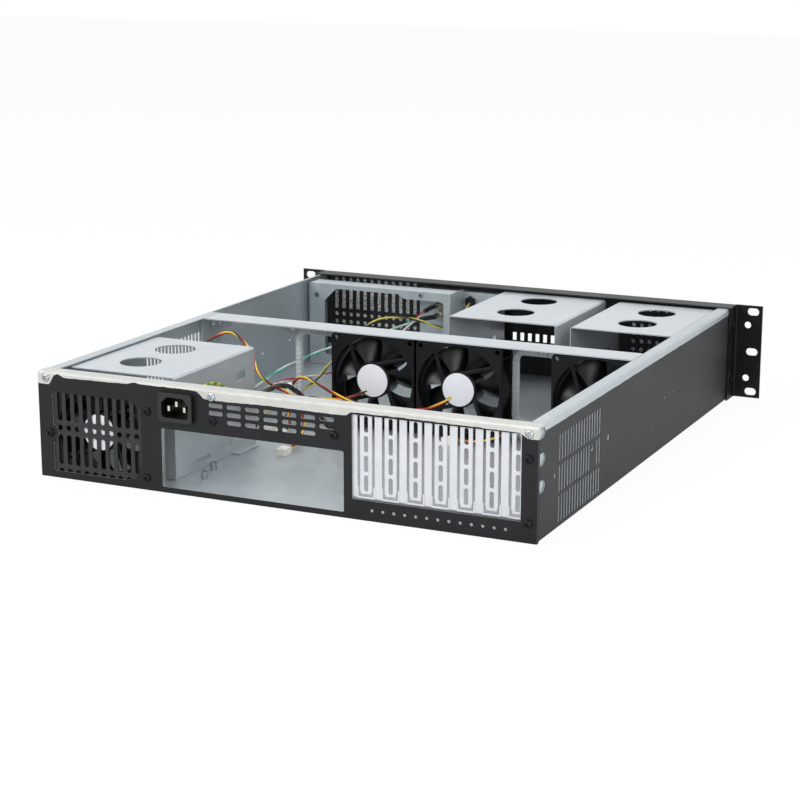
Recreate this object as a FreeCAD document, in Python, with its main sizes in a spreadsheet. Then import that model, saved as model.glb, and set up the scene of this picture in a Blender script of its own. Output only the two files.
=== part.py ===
"""Empty 2U rackmount server case, 430 mm wide and 505 mm deep, lid off.

The front faces -Y, the rear panel +Y, +Z is up and the origin is the middle of the underside.
Inside this file a place is given as (u, v, z): u from the outer face of the +X side wall,
v from the rear face towards the front, and z from the underside.
"""
import FreeCAD, Part
import math
import os

import Sketcher

doc = FreeCAD.newDocument("ServerCase")

SIZES = {
    # body
    "body_width": 430.0,
    "body_depth": 505.0,
    "body_height": 87.0,
    "sheet": 1.0,
    "bend_radius": 1.5,
    "fit_gap": 0.3,
    "side_flange": 11.0,
    "narrow_flange": 3.5,
    "front_lip": 13.0,
    # rear panel
    "rear_sheet": 1.2,
    "rear_flange": 14.0,
    "rear_lip": 4.0,
    "fan_window_near": 12.5,
    "fan_window_far": 96.0,
    "fan_window_low": 5.5,
    "fan_window_high": 71.0,
    "io_near": 114.5,
    "io_far_gap": 6.9,
    "io_low": 4.4,
    "io_high": 52.0,
    "slots_near_inset": 148.8,
    "slots_far_inset": 12.7,
    "slots_low": 15.5,
    "slots_high": 81.2,
    # vents
    "perforation": 5.0,
    "perforation_pitch": 8.0,
    "grille_slot_width": 4.4,
    "grille_slot_length": 24.6,
    "wall_slot_width": 3.0,
    "wall_slot_length": 20.4,
    "wall_slot_pitch": 5.8,
    "wall_row_pitch": 23.6,
    "wall_vent_low": 4.3,
    "wall_vent_right": 44.6,
    "wall_vent_left": 161.0,
    "vent_slot_length": 12.6,
    "vent_slot_height": 3.4,
    "vent_slot_pitch": 16.0,
    # expansion slots
    "slot_pitch": 20.32,
    "cover_sheet": 0.9,
    "first_cover_inset": 137.7,
    # fans
    "fan_size": 80.0,
    "fan_thickness": 25.0,
    "fan_bore": 76.0,
    "fan_hole_spacing": 71.5,
    "fan_hole": 4.3,
    "fan_hub": 33.0,
    "fan_shaft": 3.0,
    "blade_count": 7.0,
    "blade_gap": 1.0,
    "rear_fan_u": 55.0,
    "fan_pitch": 82.0,
    "fan_2_inset": 167.5,
    "fan_3_inset": 42.5,
    # fan wall
    "fan_wall_front": 267.5,
    "beam_depth": 27.5,
    "wall_side_flange": 16.0,
    "cable_opening_near": 15.0,
    "left_window_gap": 43.5,
    "left_window_width": 42.0,
    "right_window_gap": 43.5,
    "right_window_width": 38.5,
    "window_low": 15.0,
    "window_high": 78.5,
    "trim_face": 2.6,
    "trim_depth": 6.0,
    # cages
    "cage_top": 85.0,
    "psu_cage_near": 6.5,
    "psu_cage_far": 108.5,
    "psu_cage_rear": 30.0,
    "psu_cage_front": 160.0,
    "cage_spacing": 119.0,
    "centre_cage_width": 105.0,
    "centre_cage_inset": 17.0,
    "centre_cage_length": 134.0,
    "right_cage_side_inset": 108.0,
    "right_cage_width": 95.0,
    "right_cage_inset": 21.0,
    "right_cage_length": 131.0,
    "cage_foot": 8.0,
    "cage_hole": 35.0,
    # front brackets
    "front_bracket_inset": 49.0,
    "front_bracket_near": 5.5,
    "front_bracket_far": 160.0,
    "front_bracket_top": 84.0,
    "front_bracket_flange": 20.0,
    "switch_bracket_inset": 15.0,
    "switch_bracket_near": 112.0,
    "switch_bracket_far": 202.0,
    "switch_bracket_top": 81.0,
    # front panel
    "panel_height": 88.1,
    "panel_sheet": 1.2,
    "panel_flange": 20.0,
    "filter_depth": 2.6,
    "filter_frame_depth": 3.9,
    # switches
    "switch_u": 133.0,
    "power_switch_height": 66.4,
    "reset_switch_height": 54.7,
    "lamp_u": 167.0,
    "lamp_height": 71.6,
    "bushing": 8.0,
    "button": 5.6,
    "button_travel": 1.2,
    # ears
    "ear_reach": 26.3,
    "ear_sheet": 1.5,
    "ear_flange": 23.0,
    "rack_hole_inset": 8.75,
    "rack_hole_pitch": 38.1,
    "rack_slot_width": 11.0,
    "rack_slot_height": 7.0,
    "handle_hole": 6.5,
    "handle_hole_pitch": 50.6,
    # power inlet
    "inlet_u": 129.8,
    "inlet_height": 70.4,
    "inlet_width": 30.4,
    "inlet_bezel": 23.2,
    "inlet_proud": 4.0,
    "inlet_body_width": 27.0,
    "inlet_body_height": 19.6,
    "inlet_depth": 22.0,
    # fasteners
    "screw_shank": 3.0,
    "screw_head": 6.6,
    "screw_head_height": 2.0,
    "screw_length": 5.0,
    "standoff_height": 6.5,
}

PLACES = {
    # places that follow from the sizes, most of them measured from the front or the far side wall
    "slots_near": "body_width - slots_near_inset",
    "slots_far": "body_width - slots_far_inset",
    "io_width": "slots_near - io_far_gap - io_near",
    "first_cover": "body_width - first_cover_inset",
    "fan_2_u": "body_width - fan_2_inset",
    "fan_1_u": "fan_2_u - fan_pitch",
    "fan_3_u": "body_width - fan_3_inset",
    "left_window_far": "fan_1_u - left_window_gap",
    "left_window_near": "left_window_far - left_window_width",
    "cable_opening_far": "left_window_near - 4.3",
    "right_window_far": "fan_3_u - right_window_gap",
    "right_window_near": "right_window_far - right_window_width",
    "right_cage_near": "body_width - right_cage_side_inset",
    "centre_cage_near": "right_cage_near - cage_spacing",
    "centre_cage_front": "body_depth - centre_cage_inset",
    "centre_cage_rear": "centre_cage_front - centre_cage_length",
    "right_cage_front": "body_depth - right_cage_inset",
    "right_cage_rear": "right_cage_front - right_cage_length",
    "front_bracket_rear": "body_depth - front_bracket_inset",
    "switch_bracket_rear": "body_depth - switch_bracket_inset",
}

sheet = doc.addObject("Spreadsheet::Sheet", "Size")
cells = [(alias, str(number)) for alias, number in SIZES.items()]
cells += [(alias, "=" + formula) for alias, formula in PLACES.items()]
for row, (alias, content) in enumerate(cells, start=1):
    sheet.set("A%d" % row, alias)
    sheet.set("B%d" % row, content)
    sheet.setAlias("B%d" % row, alias)
doc.recompute()


def size(alias):
    """The number held by one cell of the sheet."""
    return float(sheet.get(alias))


HALF_WIDTH = size("body_width") / 2
HALF_DEPTH = size("body_depth") / 2


def to_x(u):
    return HALF_WIDTH - u


def to_y(v):
    return HALF_DEPTH - v


# ---------------------------------------------------------------- outlines
# An outline is a closed list of (u, z, corner radius) points, or a circle (u, z, diameter).

class Circle:
    def __init__(self, across, up, diameter):
        self.across = across
        self.up = up
        self.diameter = diameter


def rectangle(across_low, up_low, across_high, up_high, radius=0.0):
    return [
        (across_low, up_low, radius),
        (across_high, up_low, radius),
        (across_high, up_high, radius),
        (across_low, up_high, radius),
    ]


def round_slot(across, up, width, height):
    """A level slot with two round ends."""
    half, end = width / 2, height / 2 * 0.999
    return rectangle(across - half, up - height / 2, across + half, up + height / 2, end)


def facet_hole(across, up, diameter, sides=10):
    """A punched hole drawn as a regular polygon, for the fields of many small holes."""
    turn = 2 * math.pi / sides
    return [
        (across + diameter / 2 * math.cos(turn * (k + 0.5)), up + diameter / 2 * math.sin(turn * (k + 0.5)), 0.0)
        for k in range(sides)
    ]


def facet_slot(across, up, width, height):
    """A long punched slot with its two ends drawn in four straight facets each."""
    half = min(width, height) / 2
    cut = half * 0.6
    low_a, high_a = across - width / 2, across + width / 2
    low_b, high_b = up - height / 2, up + height / 2
    return [
        (low_a + cut, low_b, 0.0),
        (high_a - cut, low_b, 0.0),
        (high_a, low_b + cut, 0.0),
        (high_a, high_b - cut, 0.0),
        (high_a - cut, high_b, 0.0),
        (low_a + cut, high_b, 0.0),
        (low_a, high_b - cut, 0.0),
        (low_a, low_b + cut, 0.0),
    ]


def square_slot(across, up, width, height):
    return rectangle(across - width / 2, up - height / 2, across + width / 2, up + height / 2)


def eased(outline):
    """The same outline with straight facets in place of small arcs, for punched openings."""
    if isinstance(outline, Circle):
        sides = 6 if outline.diameter < 4 else 8 if outline.diameter < 9 else 24
        return facet_hole(outline.across, outline.up, outline.diameter, sides)
    count = len(outline)
    points = []
    for k in range(count):
        a, b, radius = outline[k]
        here = FreeCAD.Vector(a, b, 0)
        if radius <= 0:
            points.append((a, b, 0.0))
            continue
        before = (FreeCAD.Vector(outline[k - 1][0], outline[k - 1][1], 0) - here).normalize()
        after = (FreeCAD.Vector(outline[(k + 1) % count][0], outline[(k + 1) % count][1], 0) - here).normalize()
        half = before.getAngle(after) / 2
        reach = radius / math.tan(half)
        middle = here + (before + after).normalize() * (radius / math.sin(half))
        top = middle + (here - middle).normalize() * radius
        first = here + before * reach
        last = here + after * reach
        points.append((first.x, first.y, 0.0))
        if radius > 2:
            points.append((top.x, top.y, 0.0))
        points.append((last.x, last.y, 0.0))
    return points


def add_outline(sketch, outline, place):
    """Draw one outline in a sketch; place turns its two coordinates into the sketch's own."""
    if isinstance(outline, Circle):
        centre = place(outline.across, outline.up)
        circle = Part.Circle(centre, FreeCAD.Vector(0, 0, 1), outline.diameter / 2)
        sketch.addGeometry(circle, False)
        return
    count = len(outline)
    points = [place(a, b) for a, b, radius in outline]
    starts = []
    ends = []
    arcs = []
    for k in range(count):
        here = points[k]
        before = (points[k - 1] - here).normalize()
        after = (points[(k + 1) % count] - here).normalize()
        radius = outline[k][2]
        if radius <= 0:
            starts.append(here)
            ends.append(here)
            continue
        half = before.getAngle(after) / 2
        reach = radius / math.tan(half)
        middle = here + (before + after).normalize() * (radius / math.sin(half))
        first = here + before * reach
        last = here + after * reach
        top = middle + (here - middle).normalize() * radius
        starts.append(first)
        ends.append(last)
        arcs.append(Part.Arc(first, top, last))
    for k in range(count):
        start = ends[k]
        end = starts[(k + 1) % count]
        if start.distanceToPoint(end) > 1e-6:
            sketch.addGeometry(Part.LineSegment(start, end), False)
    for arc in arcs:
        sketch.addGeometry(arc, False)


PLANES = {
    # sketch plane: its role, how (a, b) lie in the sketch, and the sketch's offset for a start value
    "across": ("XZ_Plane", lambda u, z: FreeCAD.Vector(to_x(u), z, 0), "(%s) - Size.body_depth / 2"),
    "floor": ("XY_Plane", lambda u, v: FreeCAD.Vector(to_x(u), to_y(v), 0), "%s"),
    "along": ("YZ_Plane", lambda v, z: FreeCAD.Vector(to_y(v), z, 0), "Size.body_width / 2 - (%s)"),
}


def body_origin_plane(body, role):
    return [plane for plane in body.Origin.OriginFeatures if plane.Role == role][0]


def pad(name, plane, outlines, start, length):
    """A body that is one padded sketch. Start and length are expressions on the sheet.

    Across: a sketch in u and z, padded along v. Floor: in u and v, padded up.
    Along: in v and z, padded from the far side towards small u.
    """
    role, place, offset = PLANES[plane]
    body = doc.addObject("PartDesign::Body", name)
    sketch = body.newObject("Sketcher::SketchObject", name + "_sketch")
    sketch.AttachmentSupport = (body_origin_plane(body, role), [""])
    sketch.MapMode = "FlatFace"
    sketch.setExpression("AttachmentOffset.Base.z", offset % start)
    for outline in outlines:
        add_outline(sketch, outline, place)
    feature = body.newObject("PartDesign::Pad", name + "_pad")
    feature.Profile = sketch
    feature.setExpression("Length", length)
    body.Tip = feature
    return body


def box(name, near, far, rear, front, low, high):
    """A Part box between two places; each argument is an expression on the sheet."""
    solid = doc.addObject("Part::Box", name)
    solid.setExpression("Length", "(%s) - (%s)" % (far, near))
    solid.setExpression("Width", "(%s) - (%s)" % (front, rear))
    solid.setExpression("Height", "(%s) - (%s)" % (high, low))
    solid.setExpression("Placement.Base.x", "Size.body_width / 2 - (%s)" % far)
    solid.setExpression("Placement.Base.y", "Size.body_depth / 2 - (%s)" % front)
    solid.setExpression("Placement.Base.z", low)
    return solid


def rod(name, axis, u, v, z, diameter, length):
    """A Part cylinder from a place along +v (axis "v"), along +u (axis "u") or up (axis "z")."""
    turns = {
        "z": FreeCAD.Rotation(0, 0, 0),
        "v": FreeCAD.Rotation(FreeCAD.Vector(1, 0, 0), 90),
        "u": FreeCAD.Rotation(FreeCAD.Vector(0, 1, 0), -90),
    }
    solid = doc.addObject("Part::Cylinder", name)
    solid.Placement = FreeCAD.Placement(FreeCAD.Vector(), turns[axis])
    solid.setExpression("Radius", "(%s) / 2" % diameter)
    solid.setExpression("Height", length)
    solid.setExpression("Placement.Base.x", "Size.body_width / 2 - (%s)" % u)
    solid.setExpression("Placement.Base.y", "Size.body_depth / 2 - (%s)" % v)
    solid.setExpression("Placement.Base.z", z)
    return solid


def joined(name, solids):
    """The given solids as one."""
    fuse = doc.addObject("Part::MultiFuse", name)
    fuse.Shapes = solids
    fuse.Refine = True
    return fuse


def grouped(name, solids):
    """Separate solids that go into one node."""
    group = doc.addObject("Part::Compound", name)
    group.Links = solids
    return group


def less(name, solid, tools):
    """A solid less the tools, which don't overlap one another."""
    tool = tools[0] if len(tools) == 1 else grouped(name + "_tools", tools)
    cut = doc.addObject("Part::Cut", name)
    cut.Base = solid
    cut.Tool = tool
    return cut


NODES = {}


def node(name, solid):
    """Name the finished sub-part."""
    solid.Label = name
    NODES[name] = solid
    return solid


# ---------------------------------------------------------------- base tray
BACK_OF_REAR = "Size.rear_sheet + Size.fit_gap"
WALL_HOLES = [
    # v, z, diameter of the holes in each side wall
    (151.8, 44.1, 5.0),
    (296.0, 44.8, 3.5),
    (320.7, 44.8, 3.5),
    (267.4, 23.0, 3.5),
    (267.4, 73.9, 3.0),
    (366.5, 28.2, 3.0),
    (418.4, 44.8, 5.5),
    (443.6, 44.8, 3.0),
    (421.4, 31.0, 3.0),
    (8.6, 68.9, 3.4),
    (8.6, 17.8, 3.4),
    (35.2, 43.1, 4.0),
]
EAR_SCREW_HEIGHTS = (18.0, 69.8)
EAR_SCREW_INSET = 13.0
NOTCH_HEIGHTS = (82.0, 61.6, 41.2)
NOTCH_DEPTH = 11.5
NOTCH_HEIGHT = 10.0
VENT_COLUMNS = 16
VENT_ROWS = 3
SKIPPED_SLOTS = ((1, 12), (1, 13))


def wall_vent(start, skipped):
    """The slots of one side wall, three rows of vertical slots."""
    width = size("wall_slot_width")
    length = size("wall_slot_length")
    slots = []
    for row_index in range(VENT_ROWS):
        low = size("wall_vent_low") + row_index * size("wall_row_pitch")
        for column in range(VENT_COLUMNS):
            if (row_index, column) in skipped:
                continue
            middle = start + column * size("wall_slot_pitch")
            slots.append(rectangle(middle - width / 2, low, middle + width / 2, low + length))
    return slots


def side_wall_cuts(name, vent_start, skipped, far_face):
    """Everything punched in one side wall, as one cutter through that wall."""
    outlines = wall_vent(vent_start, skipped)
    outlines += [facet_hole(v, z, diameter, 6) for v, z, diameter in WALL_HOLES]
    clear = size("screw_shank") + 2 * size("fit_gap")
    outlines += [facet_hole(size("body_depth") - EAR_SCREW_INSET, z, clear, 6) for z in EAR_SCREW_HEIGHTS]
    if skipped:
        hole_v = vent_start + 12 * size("wall_slot_pitch")
        outlines.append(facet_hole(hole_v, size("wall_vent_low") + 1.7 * size("wall_row_pitch"), 5.5, 8))
    edge = size("rear_lip") + size("fit_gap")
    for height in NOTCH_HEIGHTS:
        low = height - NOTCH_HEIGHT / 2
        high = min(height + NOTCH_HEIGHT / 2, size("body_height") - 2 * size("sheet"))
        deep = edge + NOTCH_DEPTH
        outlines.append([
            (edge - 1, low, 0.0),
            (deep - 4, low, 0.0),
            (deep, low + 3.5, 0.0),
            (deep, high - 3.5, 0.0),
            (deep - 4, high, 0.0),
            (edge - 1, high, 0.0),
        ])
    return pad(name, "along", outlines, far_face, "Size.sheet + 2")


def base_tray():
    width, height = size("body_width"), size("body_height")
    thick, bend = size("sheet"), size("bend_radius")
    flange = size("side_flange")
    inner_bend = max(bend - thick, 0.2)
    profile = [
        (0, 0, bend),
        (width, 0, bend),
        (width, height, bend),
        (width - flange, height, 0),
        (width - flange, height - thick, 0),
        (width - thick, height - thick, inner_bend),
        (width - thick, thick, inner_bend),
        (thick, thick, inner_bend),
        (thick, height - thick, inner_bend),
        (flange, height - thick, 0),
        (flange, height, 0),
        (0, height, bend),
    ]
    length = "Size.body_depth - Size.panel_sheet - Size.rear_sheet - 2 * Size.fit_gap"
    channel = pad("tray_channel", "across", [eased(profile)], BACK_OF_REAR, length)
    lip_front = "Size.body_depth - Size.panel_sheet - Size.fit_gap"
    lip = box("tray_front_lip", "2 * Size.sheet", "Size.centre_cage_near - 4 * Size.sheet",
              lip_front + " - Size.sheet", lip_front, "Size.sheet / 2", "Size.front_lip")
    folded = joined("tray_folded", [channel, lip])
    edge = "Size.rear_lip + Size.fit_gap"
    corner_cuts = []
    for side, near, far in (
        ("left", "-1", "Size.rear_sheet + Size.fit_gap"),
        ("right", "Size.body_width - Size.rear_sheet - Size.fit_gap", "Size.body_width + 1"),
    ):
        corner_cuts.append(box("tray_%s_corner" % side, near, far, "0", edge, "-1", "Size.body_height + 1"))
    flange_cut = box("tray_flange_rear", "-1", "Size.body_width + 1", "0", "Size.rear_flange + Size.fit_gap",
                     "Size.body_height - Size.rear_sheet - Size.fit_gap", "Size.body_height + 1")
    narrow_cut = box("tray_flange_step", "Size.narrow_flange", "Size.side_flange + 1",
                     "Size.fan_wall_front + 1", "Size.body_depth", "Size.body_height - 1.5 * Size.sheet",
                     "Size.body_height + 1")
    left = side_wall_cuts("tray_left_cuts", size("wall_vent_left"), (), "Size.sheet + 1")
    right = side_wall_cuts("tray_right_cuts", size("wall_vent_right"), SKIPPED_SLOTS, "Size.body_width + 1")
    first = less("tray_trimmed", folded, corner_cuts + [flange_cut, narrow_cut])
    return node("base_tray", less("tray_finished", first, [left, right]))


# ---------------------------------------------------------------- rear panel
REAR_SCREWS = (
    # u, z of the black screws in the rear face
    (10.1, 36.9),
    (101.9, 64.1),
    (100.3, 9.8),
    (161.5, 62.5),
    (size("slots_near") - 15.0, 63.2),
    (size("body_width") - 7.0, 62.9),
    (size("body_width") - 7.0, 14.7),
)
TOP_SCREWS = ((7.6, 82.0), (160.7, 81.6), (size("body_width") - 7.0, 81.4))
SMALL_HOLES = 13
SMALL_HOLE_START = size("body_width") - 132.3
SMALL_HOLE_PITCH = 8.98
SMALL_HOLE_HEIGHT = 8.3
VENT_START = 158.7
VENT_HEIGHTS = (75.1, 69.0, 62.7)


def rear_screw_holes():
    clear = size("screw_shank") + 2 * size("fit_gap")
    return [Circle(u, z, clear) for u, z in REAR_SCREWS + TOP_SCREWS]


def fan_window():
    near, far = size("fan_window_near"), size("fan_window_far")
    low, high = size("fan_window_low"), size("fan_window_high")
    ear_u, ear_z = REAR_SCREWS[0]
    ear = 6.5
    return [
        (near, low, 1.0),
        (far - 16, low, 1.5),
        (far - 6, low + 3.0, 1.5),
        (far, low + 12.5, 1.5),
        (far, high - 6.0, 1.5),
        (far - 11, high, 1.5),
        (near, high, 1.0),
        (near, ear_z + ear, 0.0),
        (ear_u + ear * 0.85, ear_z + ear * 0.9, 2.5),
        (ear_u + ear * 1.25, ear_z, 3.5),
        (ear_u + ear * 0.85, ear_z - ear * 0.9, 2.5),
        (near, ear_z - ear, 0.0),
    ]


def rear_vent():
    slots = []
    length, height = size("vent_slot_length"), size("vent_slot_height")
    room = size("slots_near") - 0.4 - length / 2 - VENT_START
    columns = int(room / size("vent_slot_pitch") - 0.35) + 1
    for row_index, z in enumerate(VENT_HEIGHTS):
        for column in range(columns):
            if row_index == 2 and column in (0, columns - 1):
                continue
            u = VENT_START + (column + 0.35) * size("vent_slot_pitch")
            slots.append(facet_slot(u, z, length, height))
    return slots


def rear_panel():
    height = size("body_height")
    thick, bend = size("rear_sheet"), size("bend_radius")
    flange = size("rear_flange")
    profile = [
        (0, 0, 0),
        (0, height, bend),
        (flange, height, 0),
        (flange, height - thick, 0),
        (thick, height - thick, max(bend - thick, 0.2)),
        (thick, 0, 0),
    ]
    folded = pad("rear_panel_fold", "along", [eased(profile)], "Size.body_width", "Size.body_width")
    lips = [
        box("rear_panel_lip_1", "0", "Size.rear_sheet", "Size.rear_sheet / 2", "Size.rear_lip", "0",
            "Size.body_height - Size.rear_sheet / 2"),
        box("rear_panel_lip_2", "Size.body_width - Size.rear_sheet", "Size.body_width",
            "Size.rear_sheet / 2", "Size.rear_lip", "0", "Size.body_height - Size.rear_sheet / 2"),
    ]
    blank = joined("rear_panel_blank", [folded] + lips)
    gap = size("fit_gap")
    inlet_u, inlet_z = size("inlet_u"), size("inlet_height")
    inlet_w, inlet_h = size("inlet_body_width") + 2 * gap, size("inlet_body_height") + 2 * gap
    outlines = [
        fan_window(),
        rectangle(size("io_near"), size("io_low"), size("io_near") + size("io_width"), size("io_high"), 1.0),
        rectangle(size("slots_near"), size("slots_low"), size("slots_far"), size("slots_high"), 0.6),
        rectangle(inlet_u - inlet_w / 2, inlet_z - inlet_h / 2, inlet_u + inlet_w / 2, inlet_z + inlet_h / 2),
    ]
    outlines += rear_screw_holes()
    outlines += rear_vent()
    for k in range(SMALL_HOLES):
        outlines.append(facet_hole(SMALL_HOLE_START + k * SMALL_HOLE_PITCH, SMALL_HOLE_HEIGHT, 3.0, 6))
    cutter = pad("rear_panel_cutter", "across", [eased(outline) for outline in outlines],
                 "-1", "Size.rear_sheet + 2")
    return node("rear_panel", less("rear_panel_cut", blank, [cutter]))


def perforated_columns(first_u, columns, circles, slots, sides, slot_outline):
    """Columns of punched holes: circles at the given heights, slots at theirs."""
    outlines = []
    for k in range(columns):
        u = first_u + k * size("perforation_pitch")
        for z in circles:
            outlines.append(facet_hole(u, z, size("perforation"), sides))
        for z in slots:
            outlines.append(slot_outline(u, z, size("grille_slot_width"), size("grille_slot_length")))
    return outlines


def fan_grille_plate():
    near, far = size("fan_window_near"), size("fan_window_far")
    low, high = size("fan_window_low"), size("fan_window_high")
    middle = low + 36.3
    holes = perforated_columns(near + 6.4, 10, (low + 0.3, middle), (middle - 18.1, middle + 18.1), 6, facet_slot)
    outline = rectangle(near - 6.5, low - 3.5, far + 10.0, high + 7.0)
    clear = size("screw_shank") + 2 * size("fit_gap")
    screw_holes = [facet_hole(u, z, clear, 6) for u, z in REAR_SCREWS[:3]]
    plate = pad("grille_plate", "across", [outline] + holes + screw_holes,
                "Size.rear_sheet + Size.fit_gap / 3", "Size.sheet")
    return node("fan_grille_plate", plate)


def corner_bracket(name, near, far, screws):
    """An angle inside a rear corner: one leg on the rear panel, one on the side wall."""
    low = "Size.sheet + Size.fit_gap"
    high = "Size.body_height - Size.rear_sheet - 1.5 * Size.sheet - 2 * Size.fit_gap"
    behind = "Size.rear_sheet + Size.sheet + Size.fit_gap * 4 / 3"
    leg_near, leg_far = (near, near + " + Size.sheet") if name.endswith("left") else (far + " - Size.sheet", far)
    face = box(name + "_face", near, far, behind, behind + " + Size.sheet", low, high)
    leg = box(name + "_leg", leg_near, leg_far, behind, "Size.rear_lip + 18", low, high)
    clear = size("screw_shank") + 2 * size("fit_gap")
    angle = joined(name + "_angle", [face, leg])
    if not screws:
        return node(name, angle)
    holes = pad(name + "_holes", "across", [facet_hole(u, z, clear, 6) for u, z in screws], "-1", "8")
    return node(name, less(name + "_cut", angle, [holes]))


def screw_group(name, places, head_start, head_length, shank_start, shank_length, sides=8):
    """Pan heads and shanks of like screws that run along v."""
    heads = [facet_hole(u, z, size("screw_head"), sides) for u, z in places]
    shanks = [facet_hole(u, z, size("screw_shank"), 6) for u, z in places]
    head = pad(name + "_heads", "across", heads, head_start, head_length)
    shank = pad(name + "_shanks", "across", shanks, shank_start, shank_length)
    return node(name, joined(name + "_set", [head, shank]))


def rear_fasteners():
    screw_group("rear_screws", REAR_SCREWS, "-Size.screw_head_height", "Size.screw_head_height",
                "-Size.screw_head_height / 2", "Size.screw_length + Size.screw_head_height / 2")
    screw_group("top_edge_screws", TOP_SCREWS, "-Size.screw_head_height * 0.8", "Size.screw_head_height * 0.8",
                "-Size.screw_head_height / 2", "Size.screw_length + Size.screw_head_height / 2")


# ---------------------------------------------------------------- expansion slots
COVERS = 7
COVER_GAP = 1.0
STRIP_WIDTH = 11.4
CUTOUT_LOW = 13.0
COVER_FOOT_WIDTH = 8.4
COVER_SHOULDER = 19.0
COVER_HOLES = (28.5, 43.7, 58.9, 74.1)


def cover_middle(k):
    return size("first_cover") + k * size("slot_pitch")


def slot_frame():
    """The bare frame behind the slot opening, with a cut-out for each cover."""
    top = size("body_height") - size("rear_sheet") - size("fit_gap") - size("sheet")
    half = STRIP_WIDTH / 2 + COVER_GAP
    near = cover_middle(0) - half - 7.0
    edge = size("body_width") - 3.0
    outlines = [rectangle(near, 4.0, edge, top)]
    for k in range(COVERS):
        u = cover_middle(k)
        outlines.append(rectangle(u - half, CUTOUT_LOW, u + half, top - 1.0))
    clear = size("screw_shank") + 2 * size("fit_gap")
    outlines += [facet_hole(u, z, clear, 6) for u, z in (REAR_SCREWS[5], REAR_SCREWS[6], TOP_SCREWS[2])]
    face = pad("slot_frame_face", "across", outlines, BACK_OF_REAR, "Size.sheet")
    ledge = box("slot_frame_ledge", str(near), str(edge), BACK_OF_REAR, "Size.rear_flange",
                str(top - size("sheet") / 2), str(top + size("sheet") / 2))
    return node("slot_frame", joined("slot_frame_fold", [face, ledge]))


def slot_cover(k):
    u = cover_middle(k)
    half, foot = STRIP_WIDTH / 2, COVER_FOOT_WIDTH / 2
    top = size("body_height") - size("rear_sheet") - size("fit_gap") - 2 * size("sheet") - 0.8
    low = CUTOUT_LOW + size("fit_gap")
    outline = [
        (u - foot, low, 0),
        (u + foot, low, 0),
        (u + foot, COVER_SHOULDER - 2, 0),
        (u + half, COVER_SHOULDER, 0),
        (u + half, top, 0),
        (u - half, top, 0),
        (u - half, COVER_SHOULDER, 0),
        (u - foot, COVER_SHOULDER - 2, 0),
    ]
    holes = [rectangle(u - 2.0, z - 6.3, u + 2.0, z + 6.3) for z in COVER_HOLES]
    name = "slot_cover_%d" % (k + 1)
    strip = pad(name + "_strip", "across", [outline] + holes, BACK_OF_REAR, "Size.cover_sheet")
    tab = box(name + "_tab", str(u - half), str(u + half), BACK_OF_REAR, "Size.rear_flange - 1",
              str(top) + " - Size.cover_sheet", str(top))
    return node(name, joined(name + "_fold", [strip, tab]))


# ---------------------------------------------------------------- power inlet
PIN_WIDTH = 4.0
PIN_THICKNESS = 2.0
CAVITY_DEPTH = 16.0


def power_inlet():
    """A snap-in appliance inlet: moulded housing with a cavity and three pins."""
    u, z = size("inlet_u"), size("inlet_height")
    bezel_w, bezel_h = size("inlet_width") / 2, size("inlet_bezel") / 2
    body_w, body_h = size("inlet_body_width") / 2, size("inlet_body_height") / 2
    proud = "Size.inlet_proud"
    bezel_outline = eased(rectangle(u - bezel_w, z - bezel_h, u + bezel_w, z + bezel_h, 2.5))
    bezel = pad("inlet_bezel_pad", "across", [bezel_outline], "-" + proud, proud)
    body = pad("inlet_body", "across", [rectangle(u - body_w, z - body_h, u + body_w, z + body_h)],
               "-" + proud + " / 2", "Size.inlet_depth + " + proud + " / 2")
    cavity_outline = [
        (u - 12, z - 8.2, 2.5),
        (u + 12, z - 8.2, 2.5),
        (u + 12, z + 3.4, 1.0),
        (u + 7.2, z + 8.2, 1.0),
        (u - 7.2, z + 8.2, 1.0),
        (u - 12, z + 3.4, 1.0),
    ]
    cavity = pad("inlet_cavity", "across", [eased(cavity_outline)], "-Size.inlet_proud - 1", "%g + 1" % CAVITY_DEPTH)
    slots = []
    pins = []
    gap = size("fit_gap") / 6
    for dx, dz in ((-7.0, -1.4), (0.0, 2.6), (7.0, -1.4)):
        wide, tall = PIN_THICKNESS / 2, PIN_WIDTH / 2
        slots.append(rectangle(u + dx - wide - gap, z + dz - tall - gap, u + dx + wide + gap, z + dz + tall + gap))
        pins.append(rectangle(u + dx - wide, z + dz - tall, u + dx + wide, z + dz + tall))
    pin_slots = pad("inlet_pin_slots", "across", slots, "0", "Size.inlet_depth + 4")
    pin_bars = pad("inlet_pin_bars", "across", pins, "-Size.inlet_proud + 3", "Size.inlet_depth + 9")
    shell = less("inlet_shell", joined("inlet_mould", [bezel, body]), [cavity])
    node("power_inlet_housing", less("inlet_finished", shell, [pin_slots]))
    node("power_inlet_pins", pin_bars)


# ---------------------------------------------------------------- fans
STRUT_TURN = 16.0
STRUT_OFFSET = 12.6
STRUT_WIDTH = 3.0
STATOR_DEPTH = 3.2
FRAME_FLANGE = 4.0
BLADE_THICKNESS = 1.3
BORE_SIDES = 20
SHAFT_PLAY = 0.08


def turned(u, z, angle, along, across):
    """A place at distances along and across a direction through (u, z)."""
    turn = math.radians(angle)
    return (u + along * math.cos(turn) - across * math.sin(turn),
            z + along * math.sin(turn) + across * math.cos(turn), 0.0)


def fan_corner_holes(u, z):
    reach = size("fan_hole_spacing") / 2
    return [(u + a * reach, z + b * reach) for a in (-1, 1) for b in (-1, 1)]


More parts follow.
